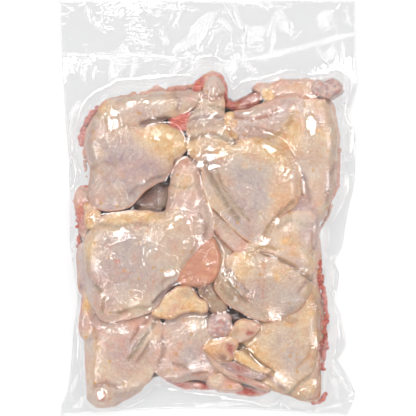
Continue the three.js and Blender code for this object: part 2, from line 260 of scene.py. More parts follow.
            lobe(101, -183, 54, 54, 0, 26, 19, "greenGrey"), lobe(124, -233, 29, 27, -20, 22, 15, "cream"),
            lobe(133, -127, 21, 38, 0, 24, 15, "cream"),
        ],
        washes=[
            wash(106, -155, 4, "deepFat", 1.0, 1.6, 10), wash(134, -139, 5, "deepFat", 1.0),
            wash(144, -163, 4, "deepFat", 1.0, 2.0, 85), wash(103, -183, 4, "deepFat", 0.8, 1.6, -30),
            wash(62, -190, 15, "fat", 0.9, 1.8, -40), wash(82, -215, 13, "fat", 0.7, 1.8, -30),
            wash(112, -198, 22, "grey", 0.8), wash(84, -145, 11, "cream", 1.0, 2.4, 0),
            wash(142, -190, 9, "peach", 0.8, 2.4, 80),
        ],
        grooves=[
            groove([(108, -248), (120, -234), (134, -224), (152, -217)], 2.2, 2.6, "cream"), groove([(42, -178), (56, -196), (76, -212), (102, -228)], 3.0, 3, "fat"),
            groove([(136, -108), (146, -136), (148, -166), (144, -214)], 1.2, 3, "peach"), groove([(70, -152), (92, -146), (118, -150)], 1.8, 3, "peach"),
            groove([(62, -214), (84, -226), (100, -242)], 2.0, 2.6, "pink"), groove([(116, -214), (130, -200), (138, -182)], 1.4, 2.6, "peach"),
        ],
        rim="flesh", rimStrength=0.7, rest=30, spread=0.5,
    ),
)

# Each upper leg quarter's edge as it lies, in mm, clockwise from above.
outlines = dict(
    topLeftLeg=[
        (-145, 136), (-133, 146), (-109, 150), (-80, 154), (-65, 161), (-49, 158), (-34, 158), (-25, 164), (-15, 162),
        (-9, 156), (-7, 144), (-14, 134), (-27, 126), (-44, 120), (-61, 116), (-49, 110), (-38, 105), (-29, 94),
        (-27, 82), (-29, 73), (-37, 67), (-47, 63), (-45, 54), (-49, 47), (-58, 37), (-72, 30), (-84, 22), (-95, 8),
        (-109, -2), (-125, -5), (-139, -4), (-152, 0), (-161, 8), (-164, 19), (-159, 38), (-157, 49), (-161, 61),
        (-164, 73), (-167, 87), (-165, 99), (-159, 113), (-151, 124),
    ],
    topCentreLeg=[
        (-7, 175), (1, 183), (10, 183), (19, 173), (23, 161), (21, 148), (22, 126), (23, 109), (31, 90), (42, 90),
        (53, 93), (64, 95), (76, 91), (88, 87), (101, 81), (112, 75), (119, 58), (125, 43), (121, 31), (124, 19),
        (119, 7), (109, -2), (98, -10), (88, -22), (82, -37), (73, -45), (64, -49), (53, -45), (41, -37), (22, -17),
        (9, -5), (-3, 7), (-8, 22), (-9, 31), (-11, 58), (-19, 63), (-27, 70), (-30, 83), (-29, 97), (-31, 109),
        (-26, 124), (-14, 138), (-7, 154),
    ],
    topRightLeg=[
        (23, 118), (31, 128), (49, 129), (64, 137), (82, 144), (100, 148), (119, 148), (133, 144), (160, 145),
        (167, 136), (170, 121), (174, 97), (175, 65), (174, 43), (164, 7), (149, -20), (141, -17), (133, 4),
        (123, 22), (112, 45), (107, 65), (100, 74), (82, 81), (62, 87), (46, 90), (33, 94), (23, 105),
    ],
    middleLeftLeg=[
        (-42, 65), (-34, 70), (-25, 68), (-13, 57), (-11, 42), (-8, 26), (-2, 11), (5, -5), (7, -18), (7, -32),
        (-1, -47), (-14, -61), (-25, -73), (-34, -89), (-42, -100), (-52, -108), (-61, -119), (-68, -132),
        (-80, -139), (-92, -143), (-108, -148), (-121, -150), (-136, -152), (-145, -147), (-151, -136),
        (-156, -126), (-163, -116), (-168, -102), (-169, -85), (-169, -67), (-168, -51), (-165, -37), (-156, -24),
        (-145, -13), (-129, -6), (-116, -4), (-100, -3), (-84, -4), (-68, -5), (-58, -5), (-54, 4), (-53, 19),
        (-49, 38), (-46, 53),
    ],
    middleRightLeg=[
        (72, -40), (80, -26), (90, -13), (103, -6), (119, -2), (133, -2), (143, -13), (147, -29), (147, -48),
        (145, -64), (143, -80), (140, -99), (135, -115), (124, -131), (111, -140), (97, -146), (82, -151),
        (69, -151), (56, -144), (40, -136), (27, -128), (17, -119), (9, -108), (7, -97), (11, -87), (19, -77),
        (23, -67), (32, -60), (42, -52), (56, -43),
    ],
    bottomCentreLeg=[
        (-54, -147), (-46, -138), (-31, -134), (-17, -134), (-1, -138), (10, -150), (21, -170), (31, -190),
        (45, -209), (56, -225), (46, -233), (26, -234), (10, -233), (-5, -229), (-17, -227), (-30, -230),
        (-44, -229), (-56, -226), (-69, -219), (-77, -210), (-82, -199), (-81, -188), (-72, -178), (-65, -169),
        (-61, -158),
    ],
    bottomLeftLeg=[
        (-152, -142), (-140, -142), (-124, -144), (-108, -142), (-92, -139), (-78, -139), (-68, -144), (-61, -154),
        (-61, -166), (-65, -174), (-72, -182), (-81, -190), (-84, -199), (-77, -207), (-70, -215), (-76, -225),
        (-80, -231), (-89, -241), (-100, -249), (-113, -257), (-124, -264), (-136, -266), (-148, -266),
        (-157, -261), (-161, -250), (-161, -238), (-163, -222), (-164, -203), (-165, -187), (-164, -171),
        (-161, -158),
    ],
    bottomRightLeg=[
        (37, -158), (53, -152), (72, -146), (93, -139), (115, -127), (128, -112), (139, -96), (149, -110),
        (153, -128), (155, -150), (154, -183), (151, -203), (150, -223), (150, -244), (147, -257), (139, -260),
        (124, -257), (112, -252), (100, -248), (85, -242), (72, -236), (61, -226), (52, -215), (44, -201),
        (37, -185), (34, -171),
    ],
)

# Thin flaps and strips between the legs: raw ends, fat and folds of skin, each with its edge as it lies; their olive
# and blood tones and washes carry painted shade.
flaps = dict(
    middleFlap=dict(
        top=46, thick=8, tone="fat", rim="flesh", finish="fat",
        washes=[
            wash(-62, -131, 7, "cream", 0.9), wash(-48, -136, 4, "flesh", 0.9, 2.6, 30),
            wash(-28, -112, 6, "shadedOlive", 0.7, 1.6, 20), wash(-40, -122, 8, "cream", 0.5, 2.0, 30),
            wash(-14, -128, 7, "cream", 0.4),
        ],
        outline=[
            (-77, -140), (-65, -129), (-61, -119), (-50, -110), (-41, -103), (-24, -104), (-17, -113),
            (-13, -120), (-5, -123), (-1, -128), (0, -137), (-10, -139), (-23, -137), (-31, -137),
            (-41, -143), (-53, -148), (-61, -145), (-72, -143),
        ],
    ),
    boneNeck=dict(
        top=40, thick=10, tone="shadedOlive", rim="flesh", finish="skin",
        washes=[
            wash(-4, -108, 7, "bloodAndShade", 0.5), wash(6, -122, 6, "shadedOlive", 0.8),
        ],
        outline=[
            (-14, -99), (-3, -97), (5, -106), (10, -118), (23, -127), (26, -136), (15, -142), (2, -139),
            (-3, -126), (-13, -118),
        ],
    ),
    creamFlap=dict(
        top=45, thick=8, tone="cream", rim="flesh", finish="fat",
        washes=[
            wash(42, -152, 8, "fat", 0.8), wash(56, -164, 3, "darkRed", 1.0, 1.4, 30),
            wash(64, -156, 3, "flesh", 0.9, 2.6, 12), wash(34, -166, 6, "shadedOlive", 0.6),
        ],
        outline=[
            (25, -169), (34, -154), (45, -147), (56, -150), (72, -155), (66, -166), (53, -174), (42, -179),
            (31, -173),
        ],
    ),
    peachFlap=dict(
        top=46, thick=8, tone="peach", rim="fat", finish="fat",
        washes=[
            wash(30, -188, 5, "darkRed", 0.9, 2.0, -70), wash(10, -180, 8, "deepFat", 0.7),
            wash(18, -198, 5, "bloodAndShade", 0.6, 2.0, -40), wash(24, -176, 6, "cream", 0.8, 2.0, 20),
        ],
        outline=[
            (-7, -183), (0, -178), (15, -175), (27, -170), (37, -175), (39, -182), (34, -190), (33, -202),
            (20, -204), (14, -203), (8, -199), (-6, -188),
        ],
    ),
    lowFat=dict(
        top=45, thick=7, tone="fat", rim="cream", finish="fat",
        washes=[
            wash(54, -204, 6, "deepFat", 0.8, 1.6, -40), wash(76, -220, 5, "lilac", 0.8),
        ],
        outline=[
            (34, -191), (41, -188), (55, -196), (65, -208), (81, -214), (84, -217), (76, -221), (62, -216),
            (47, -207), (36, -202),
        ],
    ),
    lowStrip=dict(
        top=42, thick=7, tone="lilac", rim="pink", finish="meat",
        washes=[
            wash(42, -212, 6, "darkRed", 0.8, 2.0, -30), wash(22, -208, 5, "bloodAndShade", 0.5),
            wash(70, -224, 5, "lilac", 1.0),
        ],
        outline=[
            (7, -199), (28, -202), (41, -207), (62, -216), (80, -222), (72, -227), (56, -226), (41, -221),
            (25, -216), (14, -207),
        ],
    ),
    lowSeam=dict(
        top=41, thick=7, tone="pink", rim="cream", finish="skin",
        washes=[
            wash(44, -224, 4, "darkRed", 0.8, 3.0, -25), wash(70, -237, 4, "darkRed", 0.6, 2.4, -25),
        ],
        outline=[
            (-9, -190), (-1, -190), (13, -203), (27, -215), (44, -222), (64, -229), (82, -238), (80, -242),
            (64, -238), (46, -231), (29, -225), (14, -214), (2, -202),
        ],
    ),
    footRed=dict(
        top=22, thick=14, tone="red", rim="red", finish="meat",
        washes=[
            wash(-24, -235, 8, "lilac", 0.8, 1.8, -15), wash(-44, -230, 5, "bloodAndShade", 0.4),
        ],
        outline=[
            (-52, -227), (-41, -225), (-18, -229), (2, -236), (18, -241), (5, -242), (-17, -241),
            (-33, -240), (-46, -236),
        ],
    ),
    footSkin=dict(
        top=34, thick=18, tone="pink", rim="flesh", finish="skin",
        washes=[
            wash(28, -230, 9, "flesh", 0.9), wash(22, -218, 5, "bloodAndShade", 0.5),
            wash(6, -230, 7, "cream", 0.8),
        ],
        outline=[
            (-5, -222), (10, -217), (21, -215), (37, -222), (46, -233), (49, -242), (31, -246), (15, -243),
            (-1, -240),
        ],
    ),
    footEdge=dict(
        top=26, thick=14, tone="red", rim="peach", finish="meat",
        washes=[
            wash(56, -242, 6, "darkRed", 0.5, 2.4, 0), wash(70, -239, 7, "pink", 0.8),
        ],
        outline=[
            (27, -238), (49, -234), (72, -238), (85, -243), (72, -248), (49, -250), (30, -246),
        ],
    ),
    backMeat=dict(
        top=32, thick=24, tone="darkRed", rim="red", finish="meat",
        washes=[
            wash(24, 138, 8, "red", 0.9), wash(60, 148, 7, "lilac", 0.7, 2.0, 30),
            wash(44, 134, 5, "pink", 0.7),
        ],
        outline=[
            (18, 141), (26, 148), (32, 140), (44, 146), (62, 156), (73, 156), (74, 140), (59, 130),
            (46, 128), (21, 128),
        ],
    ),
    backSkin=dict(
        top=33, thick=25, tone="pink", rim="flesh", finish="skin",
        washes=[
            wash(120, 152, 7, "flesh", 0.7, 2.0, 0), wash(84, 158, 8, "cream", 0.8), wash(128, 160, 8, "cream", 0.7),
            wash(112, 160, 5, "peach", 0.9, 3.0, 6), wash(90, 166, 5, "flesh", 0.7, 2.4, 5),
            wash(100, 154, 5, "pink", 0.8, 2.6, -10), wash(60, 163, 6, "flesh", 0.7),
        ],
        outline=[
            (56, 158), (65, 169), (78, 166), (93, 170), (96, 175), (100, 171), (128, 173), (144, 171),
            (152, 160), (148, 146), (134, 140), (110, 140), (88, 134), (72, 146),
        ],
    ),
    backKnuckle=dict(
        top=36, thick=27, tone="pink", rim="red", finish="knuckle",
        outline=[
            (134, 163), (141, 172), (153, 170), (164, 176), (177, 169), (181, 155), (167, 146), (155, 144),
            (143, 147), (135, 152),
        ],
    ),
    pinkFlap=dict(
        top=42, thick=9, tone="pink", rim="flesh", finish="skin",
        washes=[
            wash(16, -14, 8, "shadedOlive", 0.7, 4.0, -45), wash(2, -2, 6, "flesh", 0.6, 2.4, -52),
            wash(44, -54, 7, "flesh", 0.6),
            wash(52, -52, 5, "cream", 0.8),
        ],
        outline=[
            (-14, 27), (-5, 14), (5, 0), (14, -10), (27, -21), (42, -37), (56, -49), (58, -56), (50, -61),
            (37, -59), (26, -52), (15, -40), (5, -24), (-3, -8), (-10, 6),
        ],
    ),
    rightFold=dict(
        top=39, thick=14, tone="lilac", rim="pink", finish="skin",
        washes=[wash(136, -20, 9, "grey", 0.8, 2.0, -70)],
        outline=[
            (108, 6), (118, 22), (128, 18), (138, 8), (146, -4), (147, -22), (146, -44), (142, -60), (132, -44),
            (124, -26), (114, -12), (104, -4),
        ],
    ),
    underFlap=dict(
        top=38, thick=9, tone="shadedOlive", rim="peach", finish="skin",
        washes=[wash(10, -26, 7, "bloodAndShade", 0.8, 2.2, -55), 
            wash(20, -66, 7, "cream", 0.8, 1.8, 70),
        ],
        outline=[
            (2, -24), (11, -33), (23, -47), (34, -59), (31, -69), (23, -83), (15, -89), (13, -72),
            (7, -56), (1, -40),
        ],
    ),
    drumFat=dict(
        top=42, thick=8, tone="deepFat", rim="fat", finish="fat",
        washes=[
            wash(27, 104, 7, "shadedOlive", 0.7, 1.6, -60),
        ],
        outline=[
            (19, 122), (26, 128), (34, 126), (36, 108), (41, 90), (30, 93), (22, 105),
        ],
    ),
    paleFlesh=dict(
        top=46, thick=10, tone="flesh", rim="flesh", finish="flesh",
        outline=[
            (5, -39), (11, -47), (17, -72), (9, -96), (-7, -104), (-34, -102), (-44, -96), (-30, -72),
            (-14, -53),
        ],
    ),
)

# Loose ends between the legs: knuckles, fat, flaps of skin and raw meat.
scraps = dict(
    redGap=dict(parts=[lobe(-35, 115, 17, 14, 20, 32, 9, "red")], finish="meat"),
    backFat=dict(parts=[lobe(79, 149, 9, 9, 30, 28, 9, "fat"), lobe(75, 154, 6, 6, 0, 27, 8, "fat")], finish="fat"),
    # deepSkin and deepMiddle lie low between the legs; their olive and blood tones paint shade over them
    deepSkin=dict(parts=[lobe(-74, 12, 34, 26, 0, 18, 13, "shadedOlive")],
                  washes=[
                      wash(-72, 10, 16, "bloodAndShade", 0.25), wash(-84, 24, 12, "bloodAndShade", 1.0, 2.4, 38),
                      wash(-66, 36, 12, "bloodAndShade", 1.0, 1.8, 20),
                  ],
                  finish="skin"),
    deepMiddle=dict(parts=[lobe(2, -50, 28, 24, 30, 24, 12, "bloodAndShade"), lobe(24, -88, 18, 26, 0, 22, 13, "shadedOlive"),
                           lobe(-2, -104, 30, 14, 0, 22, 12, "shadedOlive")], finish="skin"),
    deepRight=dict(parts=[lobe(133, -40, 12, 32, 6, 14, 12, "lilac")], rim="pink", rimStrength=0.8, finish="skin"),
    knuckle=dict(parts=[lobe(15, -155, 17, 17, 0, 32, 14), lobe(22, -146, 10, 9, -30, 31, 12)], finish="knuckle"),
    rightFlap=dict(parts=[shank(137, -172, 13, 138, -245, 10, 20, 14, "pink")],
                   washes=[wash(140, -178, 6, "peach", 0.8, 2.0, 70), wash(150, -190, 5, "peach", 0.7)],
                   rim="red", rimStrength=0.7, finish="skin"),
    leftSkin=dict(parts=[lobe(-163, -6, 15, 36, 5, 18, 12, "pink"), lobe(-165, -80, 11, 35, 0, 18, 11, "lilac"),
                         lobe(-158, -139, 13, 36, -5, 18, 13, "pink")],
                  washes=[wash(-163, -126, 8, "deepFat", 1.0, 1.6, 80), wash(-167, -143, 6, "lilac", 1.0),
                          wash(-170, -10, 9, "red", 0.8, 2.5, 85), wash(-158, -168, 10, "cream", 0.9),
                          wash(-152, -150, 3, "flesh", 0.9, 3.0, 60), wash(-160, 14, 8, "lilac", 0.8)],
                  rim="red", rimStrength=0.8, finish="skin"),
    leftFat=dict(parts=[lobe(-153, -15, 12, 15, 10, 29, 11, "fat"), lobe(-158, 0, 8, 7, 0, 26, 9, "cream")],
                 finish="fat"),
    rightSkin=dict(parts=[shank(142, -85, 7, 144, -170, 8, 16, 12, "pink"), lobe(150, -184, 5, 9, -20, 19, 9, "darkRed")],
                   rim="red", rimStrength=0.9, finish="skin"),
    ankleRim=dict(parts=[lobe(-12, 160, 8, 13, -25, 25, 12, "red"), lobe(18, 156, 8, 16, 15, 25, 12, "red"),
                         lobe(4, 172, 15, 9, 0, 26, 11, "flesh")], finish="meat"),
)

# Frayed edges: rows of small shreds of raw meat along a route, given as [x, y, level] stations.
fringes = dict(
    topLeftFringe=dict(route=[(-150, 132, 20), (-160, 120, 17), (-166, 108, 15), (-168, 97, 15), (-166, 86, 15)],
                       shreds=60, size=(3, 5), tone="red"),
    leftThighFringe=dict(route=[(-164, 80, 15), (-163, 58, 15), (-161, 38, 15)], shreds=30, size=(2, 3.4), tone="flesh"),
    topEdgeFringe=dict(route=[(-132, 144, 16), (-112, 150, 16), (-78, 155, 16), (-67, 161, 15), (-60, 156, 16),
                              (-38, 158, 18), (-17, 162, 22)], shreds=110, size=(2, 3.6), tone="flesh"),
    leftFringe=dict(route=[(-164, 26, 18), (-172, 12, 16), (-175, -8, 15), (-174, -30, 15), (-170, -52, 15)],
                    shreds=90, size=(2.4, 4.2), tone="red"),
    leftLowFringe=dict(route=[(-170, -68, 14), (-171, -84, 13), (-167, -100, 13)], shreds=30, size=(2, 3.6), tone="flesh"),
    rightThighFringe=dict(route=[(172, 80, 16), (172, 30, 16), (164, 2, 16), (152, -22, 16), (143, -42, 17)],
                          shreds=110, size=(1.8, 3.0), tone="flesh"),
    rightFringe=dict(route=[(146, -72, 16), (151, -96, 14), (156, -123, 13), (156, -150, 13), (155, -183, 14),
                            (151, -215, 14)], shreds=140, size=(2.2, 4.2), tone="red"),
    footFringe=dict(route=[(-64, -216, 14), (-56, -228, 11), (-31, -236, 10), (-5, -240, 10), (35, -244, 9),
                           (72, -243, 12)], shreds=110, size=(2, 3.6), tone="red"),
    leftAnkleFringe=dict(route=[(-150, -260, 16), (-141, -263, 15), (-130, -260, 16)], shreds=24, size=(2, 3.4), tone="flesh"),
    rightAnkleFringe=dict(route=[(138, -256, 16), (148, -258, 14), (155, -250, 14)], shreds=30, size=(2, 3.6), tone="red"),
)

meatMake = dict(
    voxel=1.6,  # of the leg quarters' skin
    edge=4, edgeBreadth=13, rimBreadth=3.5,  # thickness of a leg at its edge, how soon it is full, and its pink rim
    ragged=1.6, raggedSize=9,  # how unevenly the edges are cut
    dome=0.36, join=3,  # how full its muscles are, and how softly they join
    packEdge=32, packLow=11,  # the outermost meat hangs down to this level
    highest=52,
    lowerVoxel=2.6,
    scrapVoxel=1.5,
    fringeVoxel=1.1,
    lumpSize=26, lumpHeight=1.3,  # slow swells of the muscle
    rippleSize=8, rippleHeight=0.6,  # slack skin
    warpSize=30, warpReach=3.6,  # how far outlines wander
    squareness=2.6, flatness=0.5,
    foldShade=7.0,  # depth of a fold at which its painted shade is quite dark
    patchSize=24, patchiness=0.42,  # how the tones vary over a leg
    floorGap=0.9,  # clear of the surface, for the back film
)

# The lower layer lies the other way round, pressed flat under the upper one.
lowerLayer = dict(
    across=0.85, along=0.92, middleY=-34, level=12, rise=15, top=24,
    tones=["grey", "plain", "lilac", "pink", "lilac"],
)


# A ball pressed squarer in plan and flatter on top, as meat is in a vacuum pouch.
def addLobe(bm, part):
    place = Matrix.Translation(Vector((part["x"], part["y"], part["level"])) * mm)
    turn = Matrix.Rotation(math.radians(part["turn"]), 4, "Z")
    size = Matrix.Diagonal((part["length"] * mm, part["width"] * mm, part["rise"] * mm, 1))
    ball = bmesh.ops.create_icosphere(bm, subdivisions=4, radius=1)["verts"]
    power = meatMake["squareness"]
    for v in ball:
        reach = math.hypot(v.co.x, v.co.y)
        if reach > 0:
            wide = reach / (abs(v.co.x) ** power + abs(v.co.y) ** power) ** (1 / power)
            v.co.x *= 1 + (wide - 1) * reach
            v.co.y *= 1 + (wide - 1) * reach
        v.co.z = math.copysign(abs(v.co.z) ** meatMake["flatness"], v.co.z)
    bmesh.ops.transform(bm, matrix=place @ turn @ size, verts=ball)


def addShank(bm, part):
    beads = 16
    for i in range(beads + 1):
        t = i / beads
        radius = part["radius"] + (part["toRadius"] - part["radius"]) * t
        height = part["rise"] * radius / max(part["radius"], part["toRadius"])
        x = part["x"] + (part["toX"] - part["x"]) * t
        y = part["y"] + (part["toY"] - part["y"]) * t
        place = Matrix.Translation(Vector((x, y, part["level"])) * mm)
        size = Matrix.Diagonal((radius * mm, radius * mm, height * mm, 1))
        bmesh.ops.create_icosphere(bm, subdivisions=3, radius=1, matrix=place @ size)


# How far out a point is on a part, seen from above: 0 in its middle and 1 at its rim.
def planShare(part, x, y):
    if "toX" in part:
        runX, runY = part["toX"] - part["x"], part["toY"] - part["y"]
        t = ((x - part["x"]) * runX + (y - part["y"]) * runY) / (runX * runX + runY * runY)
        t = min(max(t, 0.0), 1.0)
        radius = part["radius"] + (part["toRadius"] - part["radius"]) * t
        return math.hypot(x - part["x"] - runX * t, y - part["y"] - runY * t) / radius
    turn = math.radians(part["turn"])
    along = (x - part["x"]) * math.cos(turn) + (y - part["y"]) * math.sin(turn)
    over = (y - part["y"]) * math.cos(turn) - (x - part["x"]) * math.sin(turn)
    return math.hypot(along / part["length"], over / part["width"])


def smoothStep(t):
    t = min(max(t, 0.0), 1.0)
    return t * t * (3 - 2 * t)


def blendTone(a, b, share):
    return [p + (q - p) * share for p, q in zip(a, b)]


# The mix of fat, thin skin, flesh, and blood with painted shade at a place of a leg, from its parts and the washes over
# them.
def toneAt(leg, x, y):
    drift = noise.noise_vector(Vector((x, y, 0)) / 14) * 5
    x, y = x + drift.x, y + drift.y
    patch = noise.noise_vector(Vector((x, y, 40)) / meatMake["patchSize"]) * meatMake["patchiness"]
    sums, weights = [0.0] * 4, 0.0
    for part in leg["parts"]:
        share = planShare(part, x, y)
        weight = 1 / (share**4 + 0.06)
        weights += weight
        sums = [s + weight * t for s, t in zip(sums, tones[part["tone"]])]
    tone = [max(s / weights + extra, 0.0) for s, extra in zip(sums, (patch.x, patch.y, patch.z * 0.3, 0.0))]
    for spot in leg.get("washes", ()):
        turn = math.radians(spot["turn"])
        along = (x - spot["x"]) * math.cos(turn) + (y - spot["y"]) * math.sin(turn)
        over = (y - spot["y"]) * math.cos(turn) - (x - spot["x"]) * math.sin(turn)
        away = ((along / spot["stretch"]) ** 2 + over**2) / spot["reach"] ** 2
        if away < 6:
            tone = blendTone(tone, tones[spot["tone"]], spot["strength"] * math.exp(-away))
    return tone


# How deep a place lies in a leg's folds, and the tone of the deepest.
def grooveAt(leg, x, y):
    deepest, tone = 0.0, "pink"
    for fold in leg.get("grooves", ()):
        nearest = 9e9
        for (ax, ay), (bx, by) in zip(fold["route"], fold["route"][1:]):
            t = ((x - ax) * (bx - ax) + (y - ay) * (by - ay)) / ((bx - ax) ** 2 + (by - ay) ** 2)
            t = min(max(t, 0.0), 1.0)
            nearest = min(nearest, (x - ax - (bx - ax) * t) ** 2 + (y - ay - (by - ay) * t) ** 2)
        depth = fold["depth"] * math.exp(-nearest / fold["breadth"] ** 2)
        if depth > deepest:
            deepest, tone = depth, fold["tone"]
    return deepest, tone


# A piece's mesh with its modifiers applied.
def settle(piece):
    graph = bpy.context.evaluated_depsgraph_get()
    graph.update()
    mesh = bpy.data.meshes.new_from_object(piece.evaluated_get(graph))
    piece.modifiers.clear()
    piece.data = mesh
    return piece


def newPiece(name, bm):
    mesh = bpy.data.meshes.new(name)
    bm.to_mesh(mesh)
    bm.free()
    piece = bpy.data.objects.new(name, mesh)
    bpy.context.collection.objects.link(piece)
    return piece


def fuse(piece, voxel):
    remesh = piece.modifiers.new("fuse", "REMESH")
    remesh.mode = "VOXEL"
    remesh.voxel_size = voxel * mm
    remesh.adaptivity = 0
    return settle(piece)


# Smooths a fused piece, swells it, presses it flat above and below, and paints its tones.
def shapeMeat(piece, leg, smoothing, rest, top, swell):
    bm = bmesh.new()
    bm.from_mesh(piece.data)
    for _ in range(smoothing):
        bmesh.ops.smooth_vert(bm, verts=bm.verts, factor=0.5, use_axis_x=True, use_axis_y=True, use_axis_z=True)
    bm.normal_update()
    edgeTone, edgeStrength = tones[leg.get("rim", "pink")], leg.get("rimStrength", 0.0)
    paint = bm.verts.layers.float_color.new("tone")
    lift = (meatMake["lumpHeight"] * swell * mm, meatMake["rippleHeight"] * swell * mm)
    for v in bm.verts:
        at = v.co / mm
        wander = noise.noise_vector(at / meatMake["warpSize"]) * meatMake["warpReach"]
        v.co += Vector((wander.x, wander.y, 0)) * mm
        at = v.co / mm
        atEdge = smoothStep((0.66 - v.normal.z) / 0.4) * edgeStrength
        tone = blendTone(toneAt(leg, at.x, at.y), edgeTone, atEdge)
        if v.normal.z > 0:
            wiggle = noise.noise_vector(at / 7) * 1.4
            depth, inFold = grooveAt(leg, at.x + wiggle.x, at.y + wiggle.y)
            # a fold takes its own tone and a painted shade that deepens with its depth, and is cut into the surface
            if depth > 0.2:
                tone = blendTone(tone, tones[inFold], min(depth / 2.0, 0.8))
                tone[3] = max(tone[3], min(depth / meatMake["foldShade"], 0.6))
                v.co.z -= depth * v.normal.z * mm
        v[paint] = tone
        slow = noise.noise(at / meatMake["lumpSize"])
        quick = noise.fractal(at / meatMake["rippleSize"], 1.0, 2.1, 3)
        v.co += v.normal * (slow * lift[0] + quick * lift[1])
        v.co.z = min(max(v.co.z, rest * mm), top * mm)
    bmesh.ops.recalc_face_normals(bm, faces=bm.faces)
    for face in bm.faces:
        face.smooth = True
    bm.to_mesh(piece.data)
    bm.free()


# Corners cut twice, so an outline runs smoothly.
def roundOff(outline):
    for _ in range(2):
        ends = list(zip(outline, outline[1:] + outline[:1]))
        outline = [(a[0] * s + b[0] * (1 - s), a[1] * s + b[1] * (1 - s)) for a, b in ends for s in (0.75, 0.25)]
    return outline


# An outline moved outward by spread, and cut unevenly.
def spreadOut(outline, spread):
    moved = []
    for a, b, c in zip(outline[-1:] + outline[:-1], outline, outline[1:] + outline[:1]):
        run = Vector((c[0] - a[0], c[1] - a[1])).normalized()
        uneven = noise.noise(Vector((b[0], b[1], 5)) / meatMake["raggedSize"]) * meatMake["ragged"]
        moved.append((b[0] - run.y * (spread + uneven), b[1] + run.x * (spread + uneven)))
    return moved


def outlineDistances(points, outline):
    nearest = np.full(len(points), 9e9)
    for a, b in zip(outline, outline[1:] + outline[:1]):
        a, run = np.array(a), np.array(b) - np.array(a)
        t = np.clip(((points - a) @ run) / (run @ run), 0, 1)
        nearest = np.minimum(nearest, np.hypot(*(points - a - t[:, None] * run).T))
    return nearest


# Full height of a leg's muscles over a place.
def muscleHeight(leg, x, y):
    if "top" in leg:
        return leg["top"]
    peaks = []
    for part in leg["parts"]:
        share = planShare(part, x, y)
        dome = (1 - share**2) ** meatMake["dome"] if share < 1 else max((1 - share) * 1.2, -1)
        peaks.append(part["level"] + part["rise"] * dome)
    top, join = max(peaks), meatMake["join"]
    height = top + join * math.log(sum(math.exp((peak - top) / join) for peak in peaks)) - 1.5
    return min(height, 0.5 * height + 0.5 * (meatMake["highest"] - 3), meatMake["highest"])


# How far in from the outermost meat of the pack a place is, as a share.
def insidePack(x, y):
    foot = 266 - 20 * math.exp(-(((x + 5) / 60) ** 2))
    mouth = 160 + max(27 * math.exp(-(((x - 6) / 20) ** 2)), 16 * smoothStep((x - 30) / 25))
    right = 157 + 20 * smoothStep((y + 50) / 60)
    return smoothStep(min(right - x, 177 + x, y + foot, (mouth - y) * 1.5) / meatMake["packEdge"])


# A leg quarter filled in from its outline: a thin skirt of skin at the edge, muscles within.
def buildLeg(name, leg, outline, voxel):
    outline = spreadOut(roundOff(outline), leg.get("spread", 0))
    bm = bmesh.new()
    ring = [bm.verts.new((x * mm, y * mm, 0)) for x, y in outline]
    floor = bm.faces.new(ring)
    lifted = bmesh.ops.extrude_face_region(bm, geom=[floor])["geom"]
    slab = 10 * mm
    bmesh.ops.translate(bm, verts=[g for g in lifted if isinstance(g, bmesh.types.BMVert)], vec=(0, 0, slab))
    bmesh.ops.triangulate(bm, faces=bm.faces)
    bmesh.ops.recalc_face_normals(bm, faces=bm.faces)
    piece = fuse(newPiece(name, bm), voxel)
    bm = bmesh.new()
    bm.from_mesh(piece.data)
    for _ in range(2):
        bmesh.ops.smooth_vert(bm, verts=bm.verts, factor=0.5, use_axis_x=True, use_axis_y=True, use_axis_z=True)
    depths = outlineDistances(np.array([(v.co.x, v.co.y) for v in bm.verts]) / mm, outline)
    paint = bm.verts.layers.float_color.new("tone")
    rim = tones[leg["rim"]]
    leaf = "top" in leg
    breadth = 5 if leaf else meatMake["edgeBreadth"]
    edges = {}
    for v, depth in zip(bm.verts, depths):
        x, y = v.co.x / mm, v.co.y / mm
        inside = 1 if leaf else insidePack(x, y)
        rest = meatMake["packLow"] + (leg["rest"] - meatMake["packLow"]) * inside
        share = min(v.co.z / slab, 1.0)
        full = 1 - (1 - min(depth / (breadth * (2 - inside)), 1.0)) ** 2.2
        height = meatMake["edge"] + max(muscleHeight(leg, x, y) - rest - meatMake["edge"], 2) * full
        v.co.z = (rest + height * max(share, 0)) * mm
        edges[v] = (1 - smoothStep(depth / meatMake["rimBreadth"])) * leg["rimStrength"] if share > 0.3 else 0
    for _ in range(2):
        bmesh.ops.smooth_vert(bm, verts=bm.verts, factor=0.4, use_axis_x=True, use_axis_y=True, use_axis_z=True)
    bm.normal_update()
    for v in bm.verts:
        at = v.co / mm
        if v.normal.z < -0.3:
            v[paint] = tones["pink"]
            continue
        tone = blendTone(toneAt(leg, at.x, at.y), rim, edges[v])
        wiggle = noise.noise_vector(at / 7) * 1.4
        depth, inFold = grooveAt(leg, at.x + wiggle.x, at.y + wiggle.y)
        # a fold takes its own tone and a painted shade that deepens with its depth
        if depth > 0.2:
            tone = blendTone(tone, tones[inFold], min(depth / 2.0, 0.8))
            tone[3] = max(tone[3], min(depth / meatMake["foldShade"], 0.6))
        v[paint] = tone
        slow = noise.noise(at / meatMake["lumpSize"]) * meatMake["lumpHeight"]
        quick = noise.fractal(at / meatMake["rippleSize"], 1.0, 2.1, 3) * meatMake["rippleHeight"]
        v.co += v.normal * (slow + quick - depth) * mm
        v.co.z = min(max(v.co.z, meatMake["floorGap"] * mm), (meatMake["highest"] + 1) * mm)
    bmesh.ops.recalc_face_normals(bm, faces=bm.faces)
    for face in bm.faces:
        face.smooth = True
    bm.to_mesh(piece.data)
    bm.free()
    return piece


